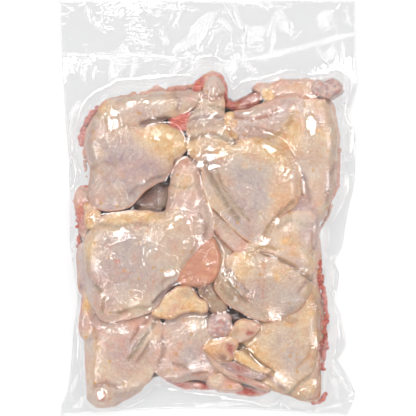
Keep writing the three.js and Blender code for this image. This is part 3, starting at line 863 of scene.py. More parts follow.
def buildMeat(name, leg, voxel, smoothing=4, rest=None, top=100, swell=1.0):
    bm = bmesh.new()
    for part in leg["parts"]:
        if "toX" in part:
            addShank(bm, part)
        else:
            addLobe(bm, part)
    piece = fuse(newPiece(name, bm), voxel)
    shapeMeat(piece, leg, smoothing, meatMake["floorGap"] if rest is None else rest, top, swell)
    return piece


# The upper layer's leg turned over to lie in the lower layer.
def lowerCopy(leg, tone):
    parts = []
    for part in leg["parts"]:
        low = dict(part, x=-part["x"] * lowerLayer["across"], level=lowerLayer["level"],
                   rise=lowerLayer["rise"], tone=tone)
        low["y"] = lowerLayer["middleY"] + (part["y"] - lowerLayer["middleY"]) * lowerLayer["along"]
        if "toX" in part:
            low["toX"] = -part["toX"] * lowerLayer["across"]
            low["toY"] = lowerLayer["middleY"] + (part["toY"] - lowerLayer["middleY"]) * lowerLayer["along"]
        else:
            low["turn"] = -part["turn"]
        parts.append(low)
    return dict(parts=parts, rim="flesh", rimStrength=0.5)


def alongRoute(route, t):
    place = t * (len(route) - 1)
    i = min(int(place), len(route) - 2)
    return Vector(route[i]).lerp(Vector(route[i + 1]), place - i)


def buildFringe(name, fringe):
    dice = random.Random(name)
    bm = bmesh.new()
    for _ in range(fringe["shreds"]):
        at = alongRoute(fringe["route"], dice.random())
        size = dice.uniform(*fringe["size"])
        at += Vector((dice.gauss(0, size * 0.35), dice.gauss(0, size * 0.35), dice.gauss(0, size * 0.8)))
        turn = Matrix.Rotation(dice.uniform(0, math.tau), 4, "Z") @ Matrix.Rotation(dice.gauss(0, 0.5), 4, "X")
        stretch = Matrix.Diagonal((size * dice.uniform(0.8, 1.4), size * 0.75, size * 0.9, 1 / mm))
        place = Matrix.Translation(at * mm) @ turn @ (stretch * mm)
        bmesh.ops.create_icosphere(bm, subdivisions=2, radius=1, matrix=place)
    piece = fuse(newPiece(name, bm), meatMake["fringeVoxel"])
    leg = dict(parts=[lobe(0, 0, 900, 900, 0, 0, 0, fringe["tone"])])
    shapeMeat(piece, leg, 3, meatMake["floorGap"], 100, 0.7)
    return piece


legs = {name: buildLeg(name, leg, outlines[name], meatMake["voxel"]) for name, leg in upperLegs.items()}
print("upper leg quarters:", len(legs))

leaves = {}
for name, flap in flaps.items():
    middle = [sum(values) / len(values) for values in zip(*flap["outline"])]
    leaf = dict(flap, parts=[lobe(*middle, 20, 20, 0, 0, 0, flap["tone"])], rest=flap["top"] - flap["thick"],
                rimStrength=0.7, spread=1.2)
    leaves[name] = buildLeg(name, leaf, flap["outline"], meatMake["scrapVoxel"])
print("flaps:", len(leaves))

lowerLegs = {}
for i, (name, leg) in enumerate(upperLegs.items()):
    low = lowerCopy(leg, lowerLayer["tones"][i % len(lowerLayer["tones"])])
    lowName = "lower" + name[0].upper() + name[1:]
    lowerLegs[lowName] = buildMeat(lowName, low, meatMake["lowerVoxel"], 3, top=lowerLayer["top"])
print("lower leg quarters:", len(lowerLegs))

trimmings = {name: buildMeat(name, scrap, meatMake["scrapVoxel"], 3, swell=0.8) for name, scrap in scraps.items()}
frayed = {name: buildFringe(name, fringe) for name, fringe in fringes.items()}
print("scraps and fringes:", len(trimmings) + len(frayed))

# ---- crevices: painted shade where meat stands higher on two opposite sides ----

creviceShade = dict(step=2.0, reaches=(5, 9), shallow=3.5, deep=11, darkest=0.92)


def joinedTree(pieces):
    places, faces = [], []
    for piece in pieces:
        first = len(places)
        places += [v.co.copy() for v in piece.data.vertices]
        faces += [[first + i for i in face.vertices] for face in piece.data.polygons]
    return BVHTree.FromPolygons(places, faces)


meatTree = joinedTree([*legs.values(), *leaves.values(), *lowerLegs.values(), *trimmings.values(), *frayed.values()])


def meatHeight(x, y):
    hit = meatTree.ray_cast(Vector((x, y, 0.2)), Vector((0, 0, -1)))[0]
    return hit.z if hit else 0.0


step = creviceShade["step"] * mm
heights = np.array([
    [meatHeight(x, y) for x in np.arange(cadLow.x, cadHigh.x, step)] for y in np.arange(cadLow.y, cadHigh.y, step)
])


def heightsAt(x, y):
    row = np.clip(((y - cadLow.y) / step).round().astype(int), 0, heights.shape[0] - 1)
    column = np.clip(((x - cadLow.x) / step).round().astype(int), 0, heights.shape[1] - 1)
    return heights[row, column]


# Paints shade into the last tone share of a piece, deeper where it lies below the meat on two opposite sides.
def paintCreviceShade(piece):
    count = len(piece.data.vertices)
    at = np.empty(count * 3, dtype=np.float32)
    piece.data.vertices.foreach_get("co", at)
    x, y, z = at.reshape(count, 3).T
    depth = np.zeros(count)
    for reach in creviceShade["reaches"]:
        for turn in range(4):
            dx, dy = reach * mm * math.cos(turn * math.pi / 4), reach * mm * math.sin(turn * math.pi / 4)
            sides = np.minimum(heightsAt(x + dx, y + dy), heightsAt(x - dx, y - dy))
            depth = np.maximum(depth, sides - z)
    share = np.clip((depth / mm - creviceShade["shallow"]) / (creviceShade["deep"] - creviceShade["shallow"]), 0, 1)
    tone = np.empty(count * 4, dtype=np.float32)
    paint = piece.data.attributes["tone"].data
    paint.foreach_get("color", tone)
    tone = tone.reshape(count, 4)
    tone[:, 3] = np.maximum(tone[:, 3], share * creviceShade["darkest"])
    paint.foreach_set("color", tone.ravel())


for piece in [*legs.values(), *leaves.values(), *lowerLegs.values(), *trimmings.values(), *frayed.values()]:
    paintCreviceShade(piece)
print("crevices darkened")

# Lamps by turn and lean from straight above in degrees, size in metres and power; the key makes the film's glints.
lights = dict(
    key=dict(turn=108, lean=22, size=0.75, power=30),
    north=dict(turn=98, lean=36, size=1.4, power=42),
    northWest=dict(turn=142, lean=36, size=1.2, power=37),
    northEast=dict(turn=52, lean=38, size=1.2, power=37),
    west=dict(turn=184, lean=42, size=1.6, power=46),
    east=dict(turn=4, lean=42, size=1.6, power=46),
    south=dict(turn=268, lean=42, size=1.5, power=50),
)
lampDistance = 5.3
worldLight = dict(strength=0.32)
camera = dict(distance=4.0, frameWidth=557.4, sensor=36.0, x=-0.67, y=0.33)


def lampPlace(light):
    turn, lean = math.radians(light["turn"]), math.radians(light["lean"])
    way = Vector((math.sin(lean) * math.cos(turn), math.sin(lean) * math.sin(turn), math.cos(lean)))
    return way * lampDistance


# ---- film: one closed pouch, drawn down over the meat ----

film = dict(
    cell=1.8,
    clear=0.5,  # film over the meat
    flangeGap=0.7,  # between the two films where they lie on each other
    settle=36,  # passes in which it is drawn down onto the meat
)


# The welded edge, as the CAD solid has it: where a face that looks up meets one that looks down.
def weldEdges(solid):
    bm = bmesh.new()
    bm.from_mesh(solid.data)
    bmesh.ops.remove_doubles(bm, verts=bm.verts, dist=1e-6)
    bm.normal_update()
    edges = []
    for edge in bm.edges:
        ups = [face.normal.z > 0 for face in edge.link_faces]
        if len(ups) == 2 and ups[0] != ups[1]:
            edges.append((edge.verts[0].co.copy(), edge.verts[1].co.copy()))
    tree = BVHTree.FromBMesh(bm)
    bm.free()
    return edges, tree


weld, solidTree = weldEdges(pouchSolid)
print("welded edge:", len(weld), "lengths")


# Where the welded edge crosses a line of constant y (axis 1) or x (axis 0), as its first and last place.
def weldSpan(value, axis):
    other = 1 - axis
    crossed = []
    for a, b in weld:
        if (a[axis] - value) * (b[axis] - value) <= 0 and a[axis] != b[axis]:
            t = (value - a[axis]) / (b[axis] - a[axis])
            crossed.append(a.lerp(b, t))
    crossed.sort(key=lambda p: p[other])
    return crossed[0], crossed[-1]


def solidHeight(x, y, up):
    start, way = ((x, y, 0.2), (0, 0, -1)) if up else ((x, y, -0.1), (0, 0, 1))
    hit = solidTree.ray_cast(Vector(start), Vector(way))[0]
    if hit is None:
        hit = solidTree.find_nearest(Vector((x, y, 0.005)))[0]
    return hit.z


# Creases in the film. A fold lies along `run` degrees, `reach` long each way and `breadth` wide each way;
# it has `count` ridges of that height, and crumple is how much of the fine creasing shows there.
def fold(x, y, reach, breadth, run, height=0.7, count=3, crumple=1.0):
    return dict(x=x, y=y, reach=reach, breadth=breadth, run=run, height=height, count=count, crumple=crumple)


folds = [
    # over the top left leg
    fold(-121, 98, 36, 13, -70, 0.9, 4), fold(-98, 74, 13, 10, 45, 0.8, 4), fold(-88, 148, 7, 6, 20, 0.8, 2),
    fold(-83, 130, 9, 6, -60, 0.7, 2), fold(-42, 142, 10, 5, 0, 0.8, 2), fold(-149, 24, 12, 4, 52, 0.8, 2),
    fold(-115, 20, 24, 8, -72, 0.5, 3, 0.5),
    # over the top centre leg
    fold(5, 152, 13, 11, 60, 0.9, 3), fold(2, 127, 22, 9, 4, 0.8, 4, 0.6), fold(-25, 110, 12, 5, 20, 0.8, 2),
    fold(9, 76, 36, 16, 24, 1.0, 5), fold(38, 102, 19, 6, -62, 0.9, 2), fold(100, 50, 19, 12, 45, 0.9, 4),
    fold(96, -5, 6, 3, 20, 0.6, 1), fold(72, -9, 6, 5, -40, 0.6, 2), fold(30, 20, 30, 12, -50, 0.4, 3, 0.4),
    # over the top right leg
    fold(133, 116, 18, 8, 88, 0.5, 1, 0.4), fold(89, 118, 13, 5, 22, 0.6, 2), fold(50, 117, 11, 4, -35, 0.8, 2),
    fold(136, 4, 6, 4, 10, 0.6, 1), fold(129, -14, 16, 13, -42, 0.6, 5), fold(150, -38, 28, 3, -86, 0.9, 1, 0.3),
    # over the middle left leg
    fold(-112, -49, 30, 19, -42, 1.0, 5), fold(-95, -40, 20, 12, 75, 0.8, 3), fold(-54, -26, 25, 20, 72, 1.0, 7),
    fold(-28, 20, 14, 6, 70, 0.5, 2, 0.4), fold(6, -13, 34, 3, 32, 1.6, 1, 0.5), fold(14, -22, 24, 2.6, 30, 1.4, 1, 0.5),
    fold(-10, 4, 20, 2.6, 36, 1.2, 1, 0.5), fold(-60, 16, 18, 2.4, 78, 1.0, 1, 0.4),
    fold(-148, -100, 24, 9, 42, 0.9, 2, 0.5), fold(-119, -119, 24, 16, 68, 0.5, 5, 0.5),
    fold(-165, -20, 16, 5, 80, 0.7, 2), fold(-135, -128, 16, 3, 72, 0.9, 1, 0.4),
    # over the middle
    fold(0, -52, 11, 5, 5, 0.8, 2), fold(1, -73, 7, 4, -35, 0.7, 1), fold(-19, -97, 14, 4, -62, 0.9, 2),
    fold(-6, -103, 16, 7, -50, 0.9, 3),
    # over the middle right leg
    fold(31, -96, 22, 9, -42, 0.8, 3, 0.6), fold(125, -56, 6, 3, -15, 0.6, 1), fold(124, -91, 20, 9, -32, 0.7, 4, 0.6),
    fold(112, -122, 15, 5, 5, 0.7, 2), fold(70, -62, 12, 8, -60, 0.7, 3, 0.6),
    # over the bottom row
    fold(-92, -174, 22, 6, 50, 0.9, 2), fold(-141, -246, 12, 9, 50, 1.0, 3), fold(-60, -174, 8, 3, 20, 0.6, 1),
    fold(-56, -207, 9, 8, 0, 0.6, 3), fold(128, -241, 10, 4, -62, 0.8, 1), fold(15, -228, 7, 6, 80, 0.7, 2),
    fold(104, -176, 6, 2, -10, 0.6, 1), fold(52, -215, 20, 6, -35, 0.7, 2, 0.6),
    fold(25, -212, 22, 4, -38, 0.7, 2, 0.6), fold(145, -200, 22, 7, 80, 0.5, 3, 0.4),
    # in the margin at the mouth
    fold(-161, 262, 11, 3, -72, 1.0, 1), fold(-148, 246, 14, 3.4, -40, 1.2, 1), fold(-136, 240, 10, 2.6, -8, 0.8, 1),
    fold(-93, 239, 15, 2.4, -2, 0.9, 1), fold(-90, 224, 12, 3.6, -26, 1.3, 1), fold(-85, 267, 13, 2.6, -48, 0.9, 1),
    fold(-64, 268, 12, 3, 65, 0.9, 1), fold(-44, 268, 28, 3, -6, 1.2, 2), fold(-28, 222, 22, 5, 34, 1.8, 2),
    fold(-10, 242, 22, 8, 50, 2.2, 3), fold(-60, 228, 10, 3, -65, 0.8, 1), fold(28, 262, 16, 2.6, -60, 0.9, 1),
    fold(40, 250, 24, 2.8, -66, 1.0, 1), fold(24, 243, 12, 3, -50, 1.0, 1), fold(48, 228, 16, 3, 82, 0.9, 1),
    fold(62, 236, 12, 6, 20, 0.9, 3), fold(60, 220, 14, 5, -35, 1.0, 2), fold(84, 245, 14, 3, 70, 0.9, 1),
    fold(98, 252, 14, 6, -75, 0.8, 2), fold(86, 222, 16, 3, 80, 0.7, 1), fold(90, 270, 20, 2.4, 4, 0.8, 1),
    fold(156, 252, 11, 9, 64, 1.9, 1), fold(165, 250, 13, 2.6, -58, 1.0, 1), fold(186, 255, 11, 2.6, -66, 0.9, 1),
    fold(164, 207, 7, 7, -60, 1.2, 1), fold(152, 203, 12, 2.4, -55, 0.9, 1), fold(178, 200, 16, 2.6, 84, 0.8, 1),
    fold(-168, 180, 12, 3, -70, 0.8, 1), fold(-40, 190, 22, 5, 52, 0.9, 3), fold(-16, 186, 14, 5, 40, 0.9, 2),
    fold(32, 190, 16, 6, 70, 1.0, 3), fold(46, 200, 12, 3, 62, 0.9, 1), fold(56, 188, 10, 4, -40, 0.8, 2),
    fold(-120, 196, 26, 8, 70, 0.7, 2, 0.6), fold(-100, 186, 22, 3, 76, 0.6, 1, 0.4),
    # the crease that crosses the margin
    fold(-158, 205, 40, 2.6, -2, 0.7, 1, 0.5), fold(-90, 204, 40, 3, -6, 0.8, 1, 0.5),
    fold(-30, 196, 44, 3, -9, 0.9, 1, 0.5), fold(30, 195, 36, 3, 7, 0.8, 1, 0.5), fold(85, 205, 42, 3, 13, 0.9, 1, 0.5),
    fold(150, 222, 50, 2.8, 15, 0.8, 1, 0.5),
    # in the side margins and along the foot
    fold(-184, 110, 24, 2.8, 82, 0.9, 1), fold(-178, 132, 12, 4, 60, 0.8, 2), fold(-186, 60, 16, 2.6, 76, 0.9, 1),
    fold(185, 150, 24, 2.8, 84, 0.9, 1), fold(181, 120, 18, 4, 70, 0.8, 2), fold(181, 70, 28, 2.8, 86, 0.9, 1),
    fold(176, 10, 18, 4, 62, 0.9, 2), fold(168, -66, 12, 3, 4, 0.9, 1), fold(160, -80, 9, 2.6, -20, 0.9, 1),
    fold(170, -118, 16, 3, -58, 1.0, 1), fold(172, -140, 14, 3, -70, 0.9, 1), fold(176, -225, 22, 3.4, -60, 1.0, 1),
    fold(168, -236, 18, 4, -75, 0.8, 2), fold(150, -268, 26, 2.8, 12, 0.8, 1), fold(-180, -235, 16, 3.4, 66, 0.9, 1),
    fold(-168, -256, 18, 3, 40, 0.8, 1), fold(-120, -264, 20, 2.6, 10, 0.8, 1), fold(20, -262, 50, 2.6, 3, 0.6, 1, 0.3),
    fold(-182, -60, 18, 2.6, 88, 0.8, 1, 0.5), fold(-184, -180, 20, 2.8, 84, 0.8, 1, 0.5),
]

for crease in folds:
    crease["cos"] = math.cos(math.radians(crease["run"]))
    crease["sin"] = math.sin(math.radians(crease["run"]))


# Height of the creases at a place, and the place along and across the strongest one with its strength,
# from which the finish draws the fine creasing.
def creaseAt(x, y):
    height, strongest, second, grain = 0.0, 0.0, 0.0, (0.0, 0.0)
    for i, crease in enumerate(folds):
        dx, dy = x - crease["x"], y - crease["y"]
        if abs(dx) + abs(dy) > 1.9 * (crease["reach"] + crease["breadth"]):
            continue
        along = dx * crease["cos"] + dy * crease["sin"]
        over = dy * crease["cos"] - dx * crease["sin"]
        inside = 1 - (along / crease["reach"] / 1.15) ** 2 - (over / crease["breadth"] / 1.25) ** 2
        if inside <= 0:
            continue
        over += noise.noise(Vector((along / 13, over / 9, i * 3.7))) * crease["breadth"] * 0.35
        if crease["count"] == 1:
            ridge = max(0.0, 1 - abs(over) / max(crease["breadth"] * 0.5, 2.2))
        else:
            phase = over * crease["count"] / crease["breadth"] / 2 + i * 0.37
            ridge = 1 - 2 * abs(phase - round(phase))
        swell = 0.75 + 0.6 * noise.noise(Vector((along / 9, over / 5, i * 1.9)))
        height = max(height, crease["height"] * ridge * smoothStep(inside * 1.5) * swell)
        strength = inside * crease["crumple"]
        if strength > strongest:
            second, strongest = strongest, strength
            grain = (along + i * 71.0, over + i * 23.0)
        elif strength > second:
            second = strength
    return height, (*grain, smoothStep((strongest - second) * 2.2))


# Patches where the slack film stands off in flat facets that shine: centre, half sizes, turn, and the
# width of a facet with how drawn out it is.
def patch(x, y, long, wide, turn, facet, drawn, lift=1.6):
    return dict(x=x, y=y, long=long, wide=wide, turn=math.radians(turn), facet=facet, drawn=drawn, lift=lift)


patches = [
    # top left leg
    patch(-125, 116, 20, 12, -70, 9, 2.0, 2), patch(-85, 141, 9, 7, 20, 5, 1.5),
    patch(-148, 30, 9, 4, 50, 5, 2.0),
    # top centre leg
    patch(3, 66, 28, 18, 20, 11, 1.3, 2.8), patch(104, 47, 13, 12, 40, 9, 1.4, 2.2), patch(-3, 117, 27, 7, 24, 6, 2.6),
    patch(7, 149, 12, 10, 60, 9, 1.3), patch(30, 91, 11, 4, -75, 4, 2.0),
    # top right leg
    patch(136, 110, 21, 9, 88, 16, 1.5, 2.6), patch(53, 129, 12, 4, 22, 4, 2.2),
    # middle left leg
    patch(-111, -49, 33, 22, -42, 12, 1.5, 2.6), patch(-50, 7, 13, 5, 75, 5, 2.2), patch(-41, -35, 31, 17, 72, 8, 2.4, 2.2),
    patch(-155, -12, 9, 8, 0, 6, 1.2), patch(-11, 11, 13, 5, 60, 5, 2.5), patch(-66, 6, 10, 6, 62, 4, 2.4),
    patch(-137, -123, 12, 5, 40, 5, 2.4),
    # middle
    patch(2, -75, 7, 5, 10, 4, 1.4), patch(-3, -110, 11, 5, -60, 4, 2.2),
    # middle right leg
    patch(29, -93, 19, 9, -42, 5, 2.6), patch(128, -85, 9, 9, -30, 4, 2.4),
    patch(52, -59, 8, 8, -60, 4, 2.0),
    # bottom row
    patch(-143, -247, 13, 10, 20, 14, 1.2, 6), patch(-92, -177, 15, 5, 50, 5, 2.4),
    patch(-60, -181, 8, 4, 20, 4, 1.6), patch(129, -245, 7, 7, -62, 4, 2.0),
    patch(14, -228, 9, 5, 80, 4, 1.6, 3),
    # margin at the mouth
    patch(-5, 225, 16, 8, 50, 5, 2.0), 
    patch(109, 239, 12, 5, -70, 4, 2.4), patch(62, 220, 11, 5, 20, 4, 2.0),
    patch(-31, 196, 13, 5, 40, 4, 2.4),
]


# The slope of a flat facet that mirrors the key lamp into the camera.
def shiningSlope(x, y):
    here = Vector((x, y, 40)) * mm
    toCamera = Vector((camera["x"] * mm, camera["y"] * mm, camera["distance"])) - here
    toLamp = lampPlace(lights["key"]) - here
    half = toCamera.normalized() + toLamp.normalized()
    return -half.x / half.z, -half.y / half.z


# Cuts a patch of film into facets, each flat and most of them facing the key lamp.
def facetPatch(patch, verts, heightAt, loose, flat):
    dice = random.Random(f"{patch['x']} {patch['y']}")
    cosine, sine = math.cos(patch["turn"]), math.sin(patch["turn"])
    across, along = patch["facet"], patch["facet"] * patch["drawn"]
    centres = []
    for i in range(-int(patch["long"] / along) - 2, int(patch["long"] / along) + 3):
        for j in range(-int(patch["wide"] / across) - 2, int(patch["wide"] / across) + 3):
            u, v = (i + dice.uniform(-0.45, 0.45)) * along, (j + dice.uniform(-0.45, 0.45)) * across
            x, y = patch["x"] + u * cosine - v * sine, patch["y"] + u * sine + v * cosine
            slopeX, slopeY = shiningSlope(x, y)
            stray = 0.018 if dice.random() < 0.72 or i == j == 0 else 0.12
            centres.append((u, v, heightAt(x, y), slopeX + dice.gauss(0, stray), slopeY + dice.gauss(0, stray)))
    for vert in verts:
        dx, dy = vert.co.x / mm - patch["x"], vert.co.y / mm - patch["y"]
        u, v = dx * cosine + dy * sine, dy * cosine - dx * sine
        uneven = noise.noise(Vector((u / 7, v / 7, patch["x"]))) * 0.5
        inside = 1 - math.hypot(u / patch["long"], v / patch["wide"]) + uneven
        if inside <= 0:
            continue
        bend = noise.noise(Vector((u / 5, v / 5, patch["y"]))) * patch["facet"] * 0.25
        near = min(centres, key=lambda c: ((c[0] - u - bend) / patch["drawn"]) ** 2 + (c[1] - v - bend) ** 2)
        du, dv = u - near[0], v - near[1]
        stepX, stepY = du * cosine - dv * sine, du * sine + dv * cosine
        plane = near[2] + (near[3] * stepX + near[4] * stepY) * mm + patch["lift"] * mm
        share = smoothStep(inside / 0.12)
        vert.co.z += (plane - vert.co.z) * share
        vert[loose] = max(vert[loose], share)
        vert[flat] = share


def buildFilm():
    width, length = cadHigh.x - cadLow.x, cadHigh.y - cadLow.y
    columns, rows = round(width / mm / film["cell"]), round(length / mm / film["cell"])
    bm = bmesh.new()
    bmesh.ops.create_grid(bm, x_segments=columns, y_segments=rows, size=0.5)
    grain = bm.verts.layers.float_vector.new("grain")
    loose = bm.verts.layers.float.new("loose")
    flat = bm.verts.layers.float.new("flat")
    spans = {}
    weldVerts = {v for e in bm.edges if e.is_boundary for v in e.verts}
    backHeights = {}
    for v in bm.verts:
        rowY = cadLow.y + (v.co.y + 0.5) * length
        key = round(v.co.y, 6)
        if key not in spans:
            inside = min(max(rowY, cadLow.y + 2e-5), cadHigh.y - 2e-5)
            left, right = weldSpan(inside, 1)
            spans[key] = (left.x, right.x)
        left, right = spans[key]
        x = left + (right - left) * (v.co.x + 0.5)
        footward = (0.5 - v.co.y) ** 3
        foot = weldSpan(min(max(x, cadLow.x + 1e-4), cadHigh.x - 1e-4), 0)[0].y if footward > 0.02 else cadLow.y
        y = rowY + (foot - cadLow.y) * footward
        v.co.x, v.co.y = x, y
        if v in weldVerts:
            v.co.z = solidTree.find_nearest(Vector((x, y, 0.006)))[0].z
        else:
            v.co.z = solidHeight(x, y, True)
            backHeights[v] = max(solidHeight(x, y, False), 0.0)
    inner = [v for v in bm.verts if v not in weldVerts]
    over = {v: meatHeight(v.co.x, v.co.y) + film["clear"] * mm for v in inner}
    packed = [v for v in inner if over[v] > 4 * mm or v.co.z > 12 * mm]
    for _ in range(film["settle"]):
        bmesh.ops.smooth_vert(bm, verts=packed, factor=0.5, use_axis_z=True)
        for v in packed:
            v.co.z = max(v.co.z, over[v])
    for _ in range(2):
        bmesh.ops.smooth_vert(bm, verts=inner, factor=0.5, use_axis_z=True)
    for v in bm.verts:
        height, v[grain] = creaseAt(v.co.x / mm, v.co.y / mm)
        v[loose] = 1.0
        if v in weldVerts:
            continue
        gap = (v.co.z - over[v]) / mm if over[v] > 2 * mm else 9.0
        v[loose] = max(smoothStep(gap / 4), v[grain].z)
        nearWeld = min(1.0, abs(v.co.z - backHeights[v]) / (2.5 * mm) + 0.35)
        v.co.z = max(v.co.z, over[v]) + height * mm * nearWeld
    tree = BVHTree.FromBMesh(bm)

    def heightAt(x, y):
        hit = tree.ray_cast(Vector((x * mm, y * mm, 0.2)), Vector((0, 0, -1)))[0]
        return hit.z if hit else 0.0

    for spot in patches:
        reach = (spot["long"] + spot["wide"]) * mm
        near = [v for v in inner if abs(v.co.x - spot["x"] * mm) < reach and abs(v.co.y - spot["y"] * mm) < reach]
        facetPatch(spot, near, heightAt, loose, flat)
    for v in inner:
        v.co.z = min(max(v.co.z, over[v]), cadHigh.z)

    # the back film: the same sheet again in the flange, and flat where the meat presses it down
    flange = [f for f in bm.faces if max(backHeights.get(v, 1.0) for v in f.verts) > 0.05 * mm]
    made = bmesh.ops.duplicate(bm, geom=flange)
    twins = {new: old for old, new in made["vert_map"].items() if isinstance(new, bmesh.types.BMVert)}
    for new, old in twins.items():
        if old in backHeights:
            new.co.z = min(backHeights[old], max(old.co.z - film["flangeGap"] * mm, 0.0))
    bmesh.ops.reverse_faces(bm, faces=[g for g in made["geom"] if isinstance(g, bmesh.types.BMFace)])
    bmesh.ops.remove_doubles(bm, verts=[*weldVerts, *[v for v in twins if twins[v] in weldVerts]], dist=1e-7)
    rims = [e for e in bm.edges if e.is_boundary]
    bmesh.ops.triangle_fill(bm, edges=rims, use_beauty=True)
    bmesh.ops.recalc_face_normals(bm, faces=bm.faces)
    for face in bm.faces:
        face.smooth = True
    openEdges = sum(not e.is_manifold for e in bm.edges)
    print("film:", len(bm.faces), "faces,", openEdges, "open edges")
    return newPiece("clearFilm", bm)


clearFilm = buildFilm()

# ---- finishes ----


def seen(red, green, blue):  # a colour as it looks on a screen
    def linear(c):
        return c / 12.92 if c <= 0.04045 else ((c + 0.055) / 1.055) ** 2.4

    return (*(linear(c / 255) for c in (red, green, blue)), 1.0)


def add(tree, kind, inputs=None, **settings):
    made = tree.nodes.new("ShaderNode" + kind)
    for name, value in settings.items():
        setattr(made, name, value)
    for name, value in (inputs or {}).items():
        if isinstance(value, bpy.types.NodeSocket):
            tree.links.new(value, made.inputs[name])
        else:
            made.inputs[name].default_value = value
    return made


def mixColour(tree, factor, a, b, blend="MIX"):
    made = tree.nodes.new("ShaderNodeMix")
    made.data_type, made.blend_type = "RGBA", blend
    for index, value in ((0, factor), (6, a), (7, b)):
        if isinstance(value, bpy.types.NodeSocket):
            tree.links.new(value, made.inputs[index])
        else:
            made.inputs[index].default_value = value
    return made.outputs[2]


def sums(tree, operation, a, b=0.0, c=0.0, clamp=False):
    made = add(tree, "Math", {0: a, 1: b, 2: c}, operation=operation)
    made.use_clamp = clamp
    return made.outputs[0]


def ramp(tree, value, low, high, toLow=0.0, toHigh=1.0):
    made = add(tree, "MapRange", {"Value": value, "From Min": low, "From Max": high, "To Min": toLow, "To Max": toHigh})
    made.interpolation_type = "SMOOTHSTEP"
    return made.outputs[0]


def noiseAt(tree, where, scale, detail=3.0, roughness=0.55, distortion=0.0):
    made = add(tree, "TexNoise", {"Vector": where, "Scale": scale, "Detail": detail, "Roughness": roughness,
                                  "Distortion": distortion})
    return made.outputs[0]


def newGroup(name, takes, gives):
    group = bpy.data.node_groups.new(name, "ShaderNodeTree")
    for socket, kind in takes:
        group.interface.new_socket(name=socket, in_out="INPUT", socket_type="NodeSocket" + kind)
    for socket, kind in gives:
        group.interface.new_socket(name=socket, in_out="OUTPUT", socket_type="NodeSocket" + kind)
    return group, group.nodes.new("NodeGroupInput").outputs, group.nodes.new("NodeGroupOutput").inputs


palette = dict(
    cream=seen(237, 224, 211), rose=seen(231, 204, 188), grey=seen(205, 191, 185), lilac=seen(186, 168, 175),
    fat=seen(251, 218, 161), deepFat=seen(239, 184, 114), raw=seen(236, 142, 124), deepRaw=seen(200, 98, 90),
    dark=seen(66, 26, 22), follicle=seen(226, 168, 60), gristle=seen(226, 214, 206),
)


# Colour, roughness and relief of skin, fat and flesh from the tones painted on a piece, painted shade included.
def meatGroup():
    group, takes, gives = newGroup(
        "meatTones",
        [("Tone", "Color"), ("ShadeAndBlood", "Float"), ("Wetness", "Float"), ("Pores", "Float")],
        [("Color", "Color"), ("Roughness", "Float"), ("Height", "Float")],
    )
    where = add(group, "TexCoord").outputs["Object"]
    parts = add(group, "SeparateColor", {"Color": takes["Tone"]}).outputs
    broad = noiseAt(group, where, 34, 3)
    cloud = noiseAt(group, where, 95, 4, 0.6, 0.4)
    streak = noiseAt(group, add(group, "Mapping", {"Vector": where, "Scale": (1.0, 2.6, 1.0)}).outputs[0], 130, 3)
    fine = noiseAt(group, where, 620, 2)
    skin = mixColour(group, ramp(group, broad, 0.35, 0.68), palette["cream"], palette["rose"])
    greys = mixColour(group, ramp(group, cloud, 0.38, 0.62), palette["grey"], palette["lilac"])
    thin = sums(group, "MULTIPLY", parts[1], ramp(group, broad, 0.25, 0.6, 1.0, 0.55))
    skin = mixColour(group, thin, skin, greys)
    fats = mixColour(group, ramp(group, cloud, 0.42, 0.7), palette["fat"], palette["deepFat"])
    fatty = sums(group, "MULTIPLY", parts[0], ramp(group, cloud, 0.2, 0.55, 0.65, 1.05), clamp=True)
    skin = mixColour(group, fatty, skin, fats)
    flesh = mixColour(group, ramp(group, streak, 0.4, 0.66), palette["raw"], palette["deepRaw"])
    raw = sums(group, "MULTIPLY", parts[2], ramp(group, streak, 0.25, 0.55, 0.7, 1.1), clamp=True)
    skin = mixColour(group, raw, skin, flesh)
    # feather follicles with a bead of yellow fat in some
    cells = add(group, "TexVoronoi", {"Vector": where, "Scale": 100.0, "Randomness": 0.9})
    bead = ramp(group, cells.outputs["Distance"], 0.34, 0.14)
    chosen = ramp(group, add(group, "SeparateColor", {"Color": cells.outputs["Color"]}).outputs[0], 0.6, 0.85)
    skin = mixColour(group, sums(group, "MULTIPLY", sums(group, "MULTIPLY", bead, chosen), 0.55), skin,
                     palette["follicle"])
    goose = ramp(group, add(group, "TexVoronoi", {"Vector": where, "Scale": 210.0}).outputs["Distance"], 0.0, 0.7)
    skin = mixColour(group, sums(group, "MULTIPLY", goose, 0.34), skin, palette["rose"], "MULTIPLY")
    # thin veins
    bent = mixColour(group, 0.012, where, add(group, "TexNoise", {"Vector": where, "Scale": 60.0}).outputs[1], "ADD")
    web = add(group, "TexVoronoi", {"Vector": bent, "Scale": 34.0}, feature="DISTANCE_TO_EDGE").outputs["Distance"]
    vein = sums(group, "MULTIPLY", ramp(group, web, 0.05, 0.01), ramp(group, broad, 0.5, 0.62, 0.0, 0.22))
    skin = mixColour(group, vein, skin, palette["raw"])
    speckle = ramp(group, fine, 0.3, 0.7, 0.84, 1.08)
    skin = mixColour(group, 1.0, skin, add(group, "CombineColor", {0: speckle, 1: speckle, 2: speckle}).outputs[0],
                     "MULTIPLY")
    # painted shade of crevices and folds, together with blood, darkens the colour
    skin = mixColour(group, takes["ShadeAndBlood"], skin, palette["dark"])
    group.links.new(skin, gives["Color"])
    rough = sums(group, "SUBTRACT", ramp(group, cloud, 0.3, 0.7, 0.52, 0.66), sums(group, "MULTIPLY", takes["Wetness"], 0.3))
    group.links.new(rough, gives["Roughness"])
    pore = add(group, "TexVoronoi", {"Vector": where, "Scale": 210.0}, feature="SMOOTH_F1").outputs["Distance"]
    relief = sums(group, "MULTIPLY_ADD", pore, takes["Pores"], sums(group, "MULTIPLY", streak, 0.9))
    group.links.new(relief, gives["Height"])
    return group


meatTones = meatGroup()


